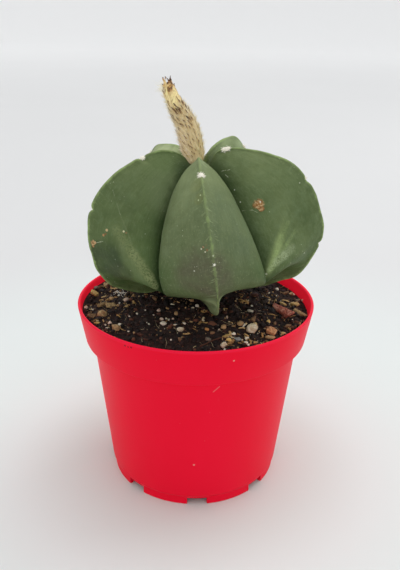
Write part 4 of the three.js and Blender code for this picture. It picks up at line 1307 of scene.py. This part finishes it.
def areole_wool(finish):
    """Tufts on the ribs' edges: a lumpy felted pad, and short hairs that start on it, point away from
    the plant and curl over by chance."""
    random = np.random.default_rng(21)
    lines, pads = [], []
    sphere, faces = ball(14, 24)
    share = np.linspace(0, 1, HAIR_STEPS)[:, None]
    for index, along, length, width, count in AREOLES:
        near_by = np.linspace(along - 0.01, along + 0.01, 3)
        before, middle, after = plant_place(
            rib_edge(RIBS[index], near_by) + edge_relief(RIBS[index], near_by)
        )
        ahead = unit(after - before)
        side = outward(rib_bearing(RIBS[index], along) + 90)
        away = unit(np.cross(side, ahead))
        frame = np.stack([ahead * length, side * width, away * PAD_RISE * width])
        lumps = 1 + 0.16 * noise(sphere + index * 7, 0.3) + 0.1 * noise(sphere + index * 7, 0.12)
        pads.append(middle + (sphere * lumps[:, None]) @ frame)
        start = unit(random.normal(size=(count, 3)) + [0, 0, 0.9])
        root = middle + (0.9 * start) @ frame
        aim = unit(start @ frame + 0.25 * away + random.normal(0, 0.35, (count, 3)))
        curl = unit(random.normal(size=(count, 3)))
        size = random.uniform(0.4, 0.9, (count, 1, 1)) * min(width, 1) ** 0.5
        lines.append(root[:, None] + size * (aim[:, None] * share + 0.5 * curl[:, None] * share**2))
    build("areole_pads", np.stack(pads), faces, "areole_wool", finish, tip=0.5, shade=0.6)
    lines = np.concatenate(lines)
    thick = np.linspace(0.1, 0.045, HAIR_STEPS) * np.ones((len(lines), 1))
    shade = random.random(len(lines))
    grow("areole_tufts", "areole_wool", finish, lines, [0.3, 0.2, 1.0], thick, thick, 3, shade, foot=0.2)


# Dried flower

# The side on which hairs reach the tip, and how far hairs and scales slant round the tube
HAIRY_SIDE = np.pi - 0.3
SLANT = -0.38
# The centre line's length, and the tube's share of the radius that tube and hairs have together
FLOWER_LENGTH = 33
TUBE_SHARE = 0.93
TUBE_ROWS = 90
TUBE_COLUMNS = 84
GOLDEN_ANGLE = np.radians(137.5)
PETAL_THICKNESS = 0.1


def on_flower(along, angle):
    """At a place along the flower and an angle round it: the centre line's point, its direction, the
    directions out of the tube and round it, and the radius."""
    step = 0.01
    centre = spline(FLOWER_LINE, along) + [0, 0, POT_HEIGHT]
    ahead = unit(spline(FLOWER_LINE, along + step) - spline(FLOWER_LINE, along - step))
    right = unit(np.cross([0.0, 1, 0], ahead))
    out = right * np.cos(angle)[..., None] + np.cross(ahead, right) * np.sin(angle)[..., None]
    radius = spline(np.array(FLOWER_RADII)[:, None], along)
    return centre, ahead, out, np.cross(ahead, out), radius


def flower_tube(finish):
    """A tube round the centre line, pleated by a wave that winds round it."""
    along = np.repeat(np.linspace(0.99, 0.01, TUBE_ROWS)[:, None], TUBE_COLUMNS, 1)
    angle = np.broadcast_to(2 * np.pi * np.arange(TUBE_COLUMNS) / TUBE_COLUMNS, along.shape)
    centre, _, out, _, radius = on_flower(along, angle)
    pleat = 1 + 0.045 * np.cos(11 * angle + 5 * along) + 0.03 * noise(centre + 9 * out, 1.3)
    rings = centre + out * radius * TUBE_SHARE * pleat[..., None]
    end, foot = (spline(FLOWER_LINE, np.array(place)) + [0, 0, POT_HEIGHT] for place in (0.985, 0.0))
    values = np.concatenate([[1], along.reshape(-1), [0]])
    surface = closed(end, rings, foot)
    build("flower_tube", *surface, "dried_flower", finish, ["dried_flower"], along=values)


def grown(along, angle):
    """The places where hairs and scales grow, and how many: all below the petals, above that only
    those on the left."""
    upper = 0.6 + 0.05 * np.sin(5 * angle)
    kept = (along < upper) | (np.cos(angle - HAIRY_SIDE) > 0.6)
    return along[kept], angle[kept], np.count_nonzero(kept)


def flower_scales(finish):
    """Lance-shaped scales in spiral rows, the golden angle apart: each hugs the tube, then its narrow
    point lifts a little. The points are darkest in the upper half."""
    random = np.random.default_rng(31)
    count = 320
    along = mixed(0.03, 0.93, (np.arange(count) / count) ** 0.95) + random.normal(0, 0.004, count)
    angle = GOLDEN_ANGLE * np.arange(count) + random.normal(0, 0.06, count)
    along, angle, count = grown(along, angle)
    share = np.linspace(0, 1, 7)
    length = random.uniform(3.6, 5.4, (count, 1))
    place = np.minimum(along[:, None] + length * share / FLOWER_LENGTH, 1)
    swirl = angle[:, None] + share * random.normal(SLANT, 0.12, (count, 1))
    lift = 0.25 + 0.9 * share**2 * random.uniform(0.3, 1.3, (count, 1))
    centre, _, out, around, radius = on_flower(place, swirl)
    line = centre + out * (radius * TUBE_SHARE + lift[..., None])
    width = np.array([0.35, 0.5, 0.55, 0.5, 0.4, 0.28, 0.08]) * random.uniform(0.6, 1.3, (count, 1))
    thin = np.array([0.1, 0.12, 0.11, 0.09, 0.08, 0.06, 0.03]) * np.ones((count, 1))
    patch = 0.75 + 0.3 * noise(line[:, 3], 2)
    shade = random.random(count) ** 0.6 * (0.35 + 0.95 * hump(along, 0.5, 0.17)) * patch
    grow("flower_scales", "dried_flower", finish, line, around, width, thin, 6, shade)


def flower_hairs(finish):
    """Fine hairs over the tube: each leaves it at a low angle towards the tip and curls; near the tip
    they stand off further."""
    random = np.random.default_rng(37)
    count = 8200
    along = random.beta(1.1, 1.2, count) * 0.97
    along, angle, count = grown(along, random.uniform(0, 2 * np.pi, count))
    centre, ahead, out, around, radius = on_flower(along, angle)
    root = centre + out * radius * 0.9
    looser = smooth(along, 0.8, 0.95)
    lift = np.radians(random.uniform(6, 56, count) + 35 * looser)[:, None]
    stray = random.normal(0, 0.13, (count, 3))
    aim = unit(ahead * np.cos(lift) + out * np.sin(lift) + SLANT * around + stray)
    share = np.linspace(0, 1, HAIR_STEPS)[:, None]
    length = random.uniform(1, 2.6, (count, 1, 1)) * (1 + 0.7 * looser)[:, None, None]
    curl = random.normal(0, 0.22, (count, 1, 3))
    line = root[:, None] + length * (aim[:, None] * share + curl * share**2)
    thick = np.linspace(0.075, 0.025, HAIR_STEPS) * random.uniform(0.6, 1.7, (count, 1))
    clump = noise(root * [1.6, 1.6, 0.6], 1.1)
    shade = random.uniform(0.1, 0.9, count) + 0.5 * clump + smooth(along, 0.75, 0.9)
    grow("flower_hairs", "dried_flower", finish, line, out[:, None], thick, thick, 3, shade)


def flower_petals(finish):
    """Papery petals that wrap the upper part of the tube: long strips that hug it, narrow towards the
    end and crumple there by random steps."""
    random = np.random.default_rng(43)
    count, steps = 16, 18
    share = np.linspace(0, 1, steps)
    angle = 2 * np.pi * np.arange(count) / count + random.normal(0, 0.1, count)
    place = mixed(random.uniform(0.52, 0.68, (count, 1)), random.uniform(0.92, 1.06, (count, 1)), share)
    swirl = angle[:, None] + share * random.normal(-0.1, 0.2, (count, 1))
    held = np.minimum(place, 1)
    layer = 0.1 + random.uniform(0, 0.5, (count, 1)) * (0.4 + share)
    centre, ahead, out, around, radius = on_flower(held, swirl)
    line = centre + ahead * (FLOWER_LENGTH * (place - held))[..., None]
    line = line + out * (radius * TUBE_SHARE + layer[..., None])
    line = line + np.cumsum(random.normal(0, 0.16, (count, steps, 3)), 1) * (share**3)[:, None]
    side = around + random.normal(0, 0.12, (count, steps, 3))
    width = np.interp(share, [0, 0.12, 0.6, 0.9, 1], [0.35, 1.0, 0.9, 0.5, 0.12]) * np.ones((count, 1))
    thin = np.full((count, steps), PETAL_THICKNESS)
    grow("flower_petals", "dried_flower", finish, line, side, width, thin, 8, random.random(count))


def flower_tip(finish):
    """Withered petals that leave the tube's end, spread apart and curl."""
    random = np.random.default_rng(41)
    count, steps = 14, 9
    angle = 2 * np.pi * np.arange(count) / count + random.normal(0, 0.2, count)
    share = np.linspace(0, 1, steps)[:, None]
    places = on_flower(np.full(count, 0.9), angle)
    centre, ahead, out, around, _ = (part[:, None] for part in places)
    length = random.uniform(2.4, 4.6, (count, 1, 1))
    spread = random.uniform(-0.35, 0.2, (count, 1, 1))
    bend = out * spread + random.normal(0, 0.2, (count, 1, 3))
    line = centre + out * 1.5 + length * (ahead * share + bend * share**2)
    line = line + np.cumsum(random.normal(0, 0.09, (count, steps, 3)), 1)
    side = around + random.normal(0, 0.4, (count, steps, 3))
    width = np.array([0.8, 0.95, 0.95, 0.9, 0.85, 0.75, 0.6, 0.4, 0.15])
    width = width * random.uniform(0.5, 1.1, (count, 1))
    thin = np.full((count, steps), PETAL_THICKNESS)
    grow("flower_tip", "dried_flower", finish, line, side, width, thin, 8, random.random(count))


# Stage

STUDIO_RADIUS = 4000
STUDIO_SWEEP = 2000
STUDIO_COLUMNS = 128
FLOOR_RINGS = 30
SWEEP_RINGS = 40


def studio():
    """A pale round floor that sweeps up into a wall: a level disc, a quarter circle, a cylinder."""
    finish = Finish("studio_floor", 0xE2E2E2, Roughness=0.9, Specular_IOR_Level=0.1)
    away = finish.vector("LENGTH", finish.place, output=1)
    # Painted light on the floor: round the pot a lighter, cool tint that cancels the pot's red reflected
    # light and lightens the shade there, and lighter again far away
    finish.cover(away.fade(STUDIO_RADIUS * 0.1, STUDIO_RADIUS) + 0.1 * finish.noise(300, 2), 0xFDFDFD)
    finish.cover(away.fade(330, 100), 0xE9F0EE)
    finish.cover(away.fade(92, 50), 0xDEE9E5)
    flat = np.linspace(20, STUDIO_RADIUS, FLOOR_RINGS)[:, None] * [1, 0]
    sweep = np.linspace(0, np.pi / 2, SWEEP_RINGS)
    sweep = np.stack([np.sin(sweep), -np.cos(sweep)], -1)
    corner = [STUDIO_RADIUS, STUDIO_SWEEP] + STUDIO_SWEEP * sweep
    profile = np.concatenate([flat, corner[1:], corner[-1:] + [0, STUDIO_SWEEP / 2]])
    around = outward(360 / STUDIO_COLUMNS * np.arange(STUDIO_COLUMNS))
    rings = around * profile[:, :1, None] + profile[:, 1:, None] * [0, 0, 1]
    points, faces = closed([0, 0, 0], rings, [0, 0, 0])
    points = points[:, :-1]
    faces = faces[(faces < points.shape[1]).all(axis=1)]
    solid("studio_floor", points, faces, finish.wear())


# Light: the dome's brightest direction, its strength there and at the horizon, its colour, and the
# lamp's power and side, its place and the point that it faces, in metres
DOME_TOP = (0.08, 0.3, 0.95)
DOME_HIGH = 1.04
DOME_LOW = 0.56
DOME_COLOUR = (0.98, 0.99, 1, 1)
LAMP_WATTS = 4
LAMP_SIZE = 0.9
LAMP_PLACE = (0.7, 0.5, 1.3)
LAMP_AIM = (0, 0, 0.08)


def aimed(name, data, right, up, back, place):
    """An object at a place in metres that looks away from `back`."""
    holder = bpy.data.objects.new(name, data)
    turn = np.eye(4)
    turn[:3] = np.stack([right, up, back, place], -1)
    holder.matrix_world = Matrix(turn.tolist())
    bpy.context.collection.objects.link(holder)
    return holder


def lights():
    """An even white dome, brightest overhead and a little behind the plant, and one large soft lamp."""
    world = bpy.data.worlds.new("studio_dome")
    bpy.context.scene.world = world
    world.use_nodes = True
    dome = Nodes(world.node_tree)
    facing = dome.vector("DOT_PRODUCT", dome.node("ShaderNodeTexCoord"), DOME_TOP, output=1)
    background = dome.nodes["Background"].inputs
    dome.join(facing.fade(0.0, 1.0, DOME_LOW, DOME_HIGH), background["Strength"])
    background["Color"].default_value = DOME_COLOUR
    light = bpy.data.lights.new("softbox", "AREA")
    light.shape = "SQUARE"
    light.size = LAMP_SIZE
    light.energy = LAMP_WATTS
    back = unit(np.subtract(LAMP_PLACE, LAMP_AIM))
    right = unit(np.cross([0, 0, 1.0], back))
    aimed("softbox", light, right, np.cross(back, right), back, LAMP_PLACE)
    bpy.context.scene.view_settings.view_transform = "Standard"


# Camera: distance from a point on the pot's axis, downward tilt, that point's height, roll, yaw
CAMERA_DISTANCE = 290.588
CAMERA_TILT = np.radians(22.872)
CAMERA_AIM_HEIGHT = POT_HEIGHT + 6.459
CAMERA_ROLL = np.radians(0.777)
CAMERA_YAW = np.arctan(0.0059)
FOCAL_PIXELS = 650.729
PHOTO_HEIGHT = 570


def camera():
    """The viewer's place: level distance and height from the tilt, then the yaw and the roll."""
    ahead = np.array([0, np.cos(CAMERA_TILT), -np.sin(CAMERA_TILT)])
    right = np.array([1.0, 0, 0])
    up = np.cross(right, ahead)
    place = np.array([0, 0, CAMERA_AIM_HEIGHT]) - ahead * CAMERA_DISTANCE
    ahead, right = (
        ahead * np.cos(CAMERA_YAW) + right * np.sin(CAMERA_YAW),
        right * np.cos(CAMERA_YAW) - ahead * np.sin(CAMERA_YAW),
    )
    level = right * np.cos(CAMERA_ROLL) + up * np.sin(CAMERA_ROLL)
    upright = up * np.cos(CAMERA_ROLL) - level * np.sin(CAMERA_ROLL)
    lens = bpy.data.cameras.new("viewer")
    lens.sensor_width = 36
    lens.lens = FOCAL_PIXELS / PHOTO_HEIGHT * lens.sensor_width
    lens.clip_start = 0.01
    bpy.context.scene.camera = aimed("viewer", lens, level, upright, -ahead, place * MM)


camera()
lights()
studio()
pot(pot_plastic())
soil(peat())
cactus(cactus_skin())
areole_wool(wool())
flower_tube(straw())
flower_scales(withered(
    "flower_scale", 0.4, 0.3, (0.0, 0xE6D6AC), (0.5, 0xD2BA88), (0.68, 0x8A6A46), (0.88, 0x4A3222)
))
flower_hairs(hair())
flower_petals(petal_skin())
flower_tip(withered(
    "flower_end", 0.5, 0.25, (0.0, 0xF0D898), (0.5, 0xE4C890), (0.75, 0xA87C50), (0.9, 0x4A3020)
))

peat_crumb = litter("peat_crumb", (0.0, 0x0C0604), (0.55, 0x1E0F0A), (0.85, 0x3E2015), (1.0, 0x6E422E))
grit = litter(
    "grit", (0.0, 0x5A4430), (0.35, 0x94744C), (0.7, 0xC8A472), (0.85, 0xE2D2AE), (1.0, 0xF6F0E2)
)
flake = litter(
    "flake", (0.0, 0x6A4A2C), (0.35, 0xA67C48), (0.65, 0xCEA262), (0.85, 0xE2C288), (1.0, 0xF4E8CA)
)
splinter = litter("splinter", (0.0, 0x4A2C1A), (0.5, 0x8A5E36), (0.8, 0xC09A62), (1.0, 0xE6D0A0))
root_hair = litter("root_hair", (0.0, 0xA08458), (1.0, 0xE0CFA8))
piece = litter(
    "small_piece", (0.0, 0x33241C), (0.16, 0x75695C), (0.3, 0x7C5A3C), (0.48, 0xB89468), (0.6, 0xB87A48),
    (0.72, 0xDCB868), (0.86, 0xD8B8A4), (1.0, 0xF4E8D2),
)
twig = litter("twig", (0.0, 0x4A2A1C), (0.3, 0x6E4630), (0.8, 0xE8E0CC), (1.0, 0xF4F0E4))
crumbs("soil_crumbs", "soil", peat_crumb, 51, 3500, (0.4, 1.9), (4, 7), cuts=4, sharpness=9)
crumbs("soil_lumps", "soil", peat_crumb, 52, 170, (1.4, 3.6), (9, 14), cuts=8, sharpness=6, sunk=0.5)
crumbs(
    "soil_grit", "pebble_tan", grit, 53, 820, (0.22, 1.1), (4, 7), cuts=2, sharpness=10, sunk=0.1,
    patches=0.7,
)
flakes("soil_flakes", "wood_chip", flake, 56, 280, (0.9, 3.8), patches=1.1)
fibres("soil_splinters", "wood_chip", splinter, 54, 240, (1, 3.2), (0.08, 0.26), flat=0.5, curl=0.06)
fibres("soil_roots", "wood_chip", root_hair, 55, 60, (3, 9), (0.04, 0.08))
small_pieces(piece)
twigs(twig)

looks = {
    "pale": ("pebble_pale", stone_skin("pebble_pale", 0xE2D8BE, 0xB9A582, 0xC9A980)),
    "tan": ("pebble_tan", stone_skin("pebble_tan", 0xC7A877, 0x8A6C48, 0xA9683C)),
    "yellow": ("pebble_tan", stone_skin("pebble_yellow", 0xDDBB7C, 0xB08A50, 0xC99A54)),
    "grey": ("pebble_grey", stone_skin("pebble_grey", 0x9FA2A0, 0x6B6E6E, 0x8A7F6C)),
    "bark_red": ("bark", wood_skin("bark_red", 0xB4644E, 0x6E2E24, 0xD09A84)),
    "bark_orange": ("bark", wood_skin("bark_orange", 0xE0A878, 0xA86A44, 0xC07848)),
    "wood": ("wood_chip", wood_skin("wood_pale", 0xBC9C6C, 0x7A6040, 0x9A7C50)),
    "wood_brown": ("wood_chip", wood_skin("wood_brown", 0x8A6A46, 0x4E3824, 0x6E4E30)),
    "wood_yellow": ("wood_chip", wood_skin("wood_yellow", 0xD0AE6C, 0x9A7440, 0xB08A4C)),
}
for number, (node, (*sizes, turn, lean, cuts, sharpness, tone)) in enumerate(PEBBLES.items()):
    cut = (cuts, sharpness, PEBBLE_SKEW, PEBBLE_REACH)
    loose_stone(node, 60 + number, sizes, turn, lean, cut, PEBBLE_ROUGHNESS, *looks[tone])
for number, (node, (*sizes, turn, lean, tone)) in enumerate(CHIPS.items()):
    loose_stone(node, 80 + number, sizes, turn, lean, CHIP_CUT, CHIP_ROUGHNESS, *looks[tone])
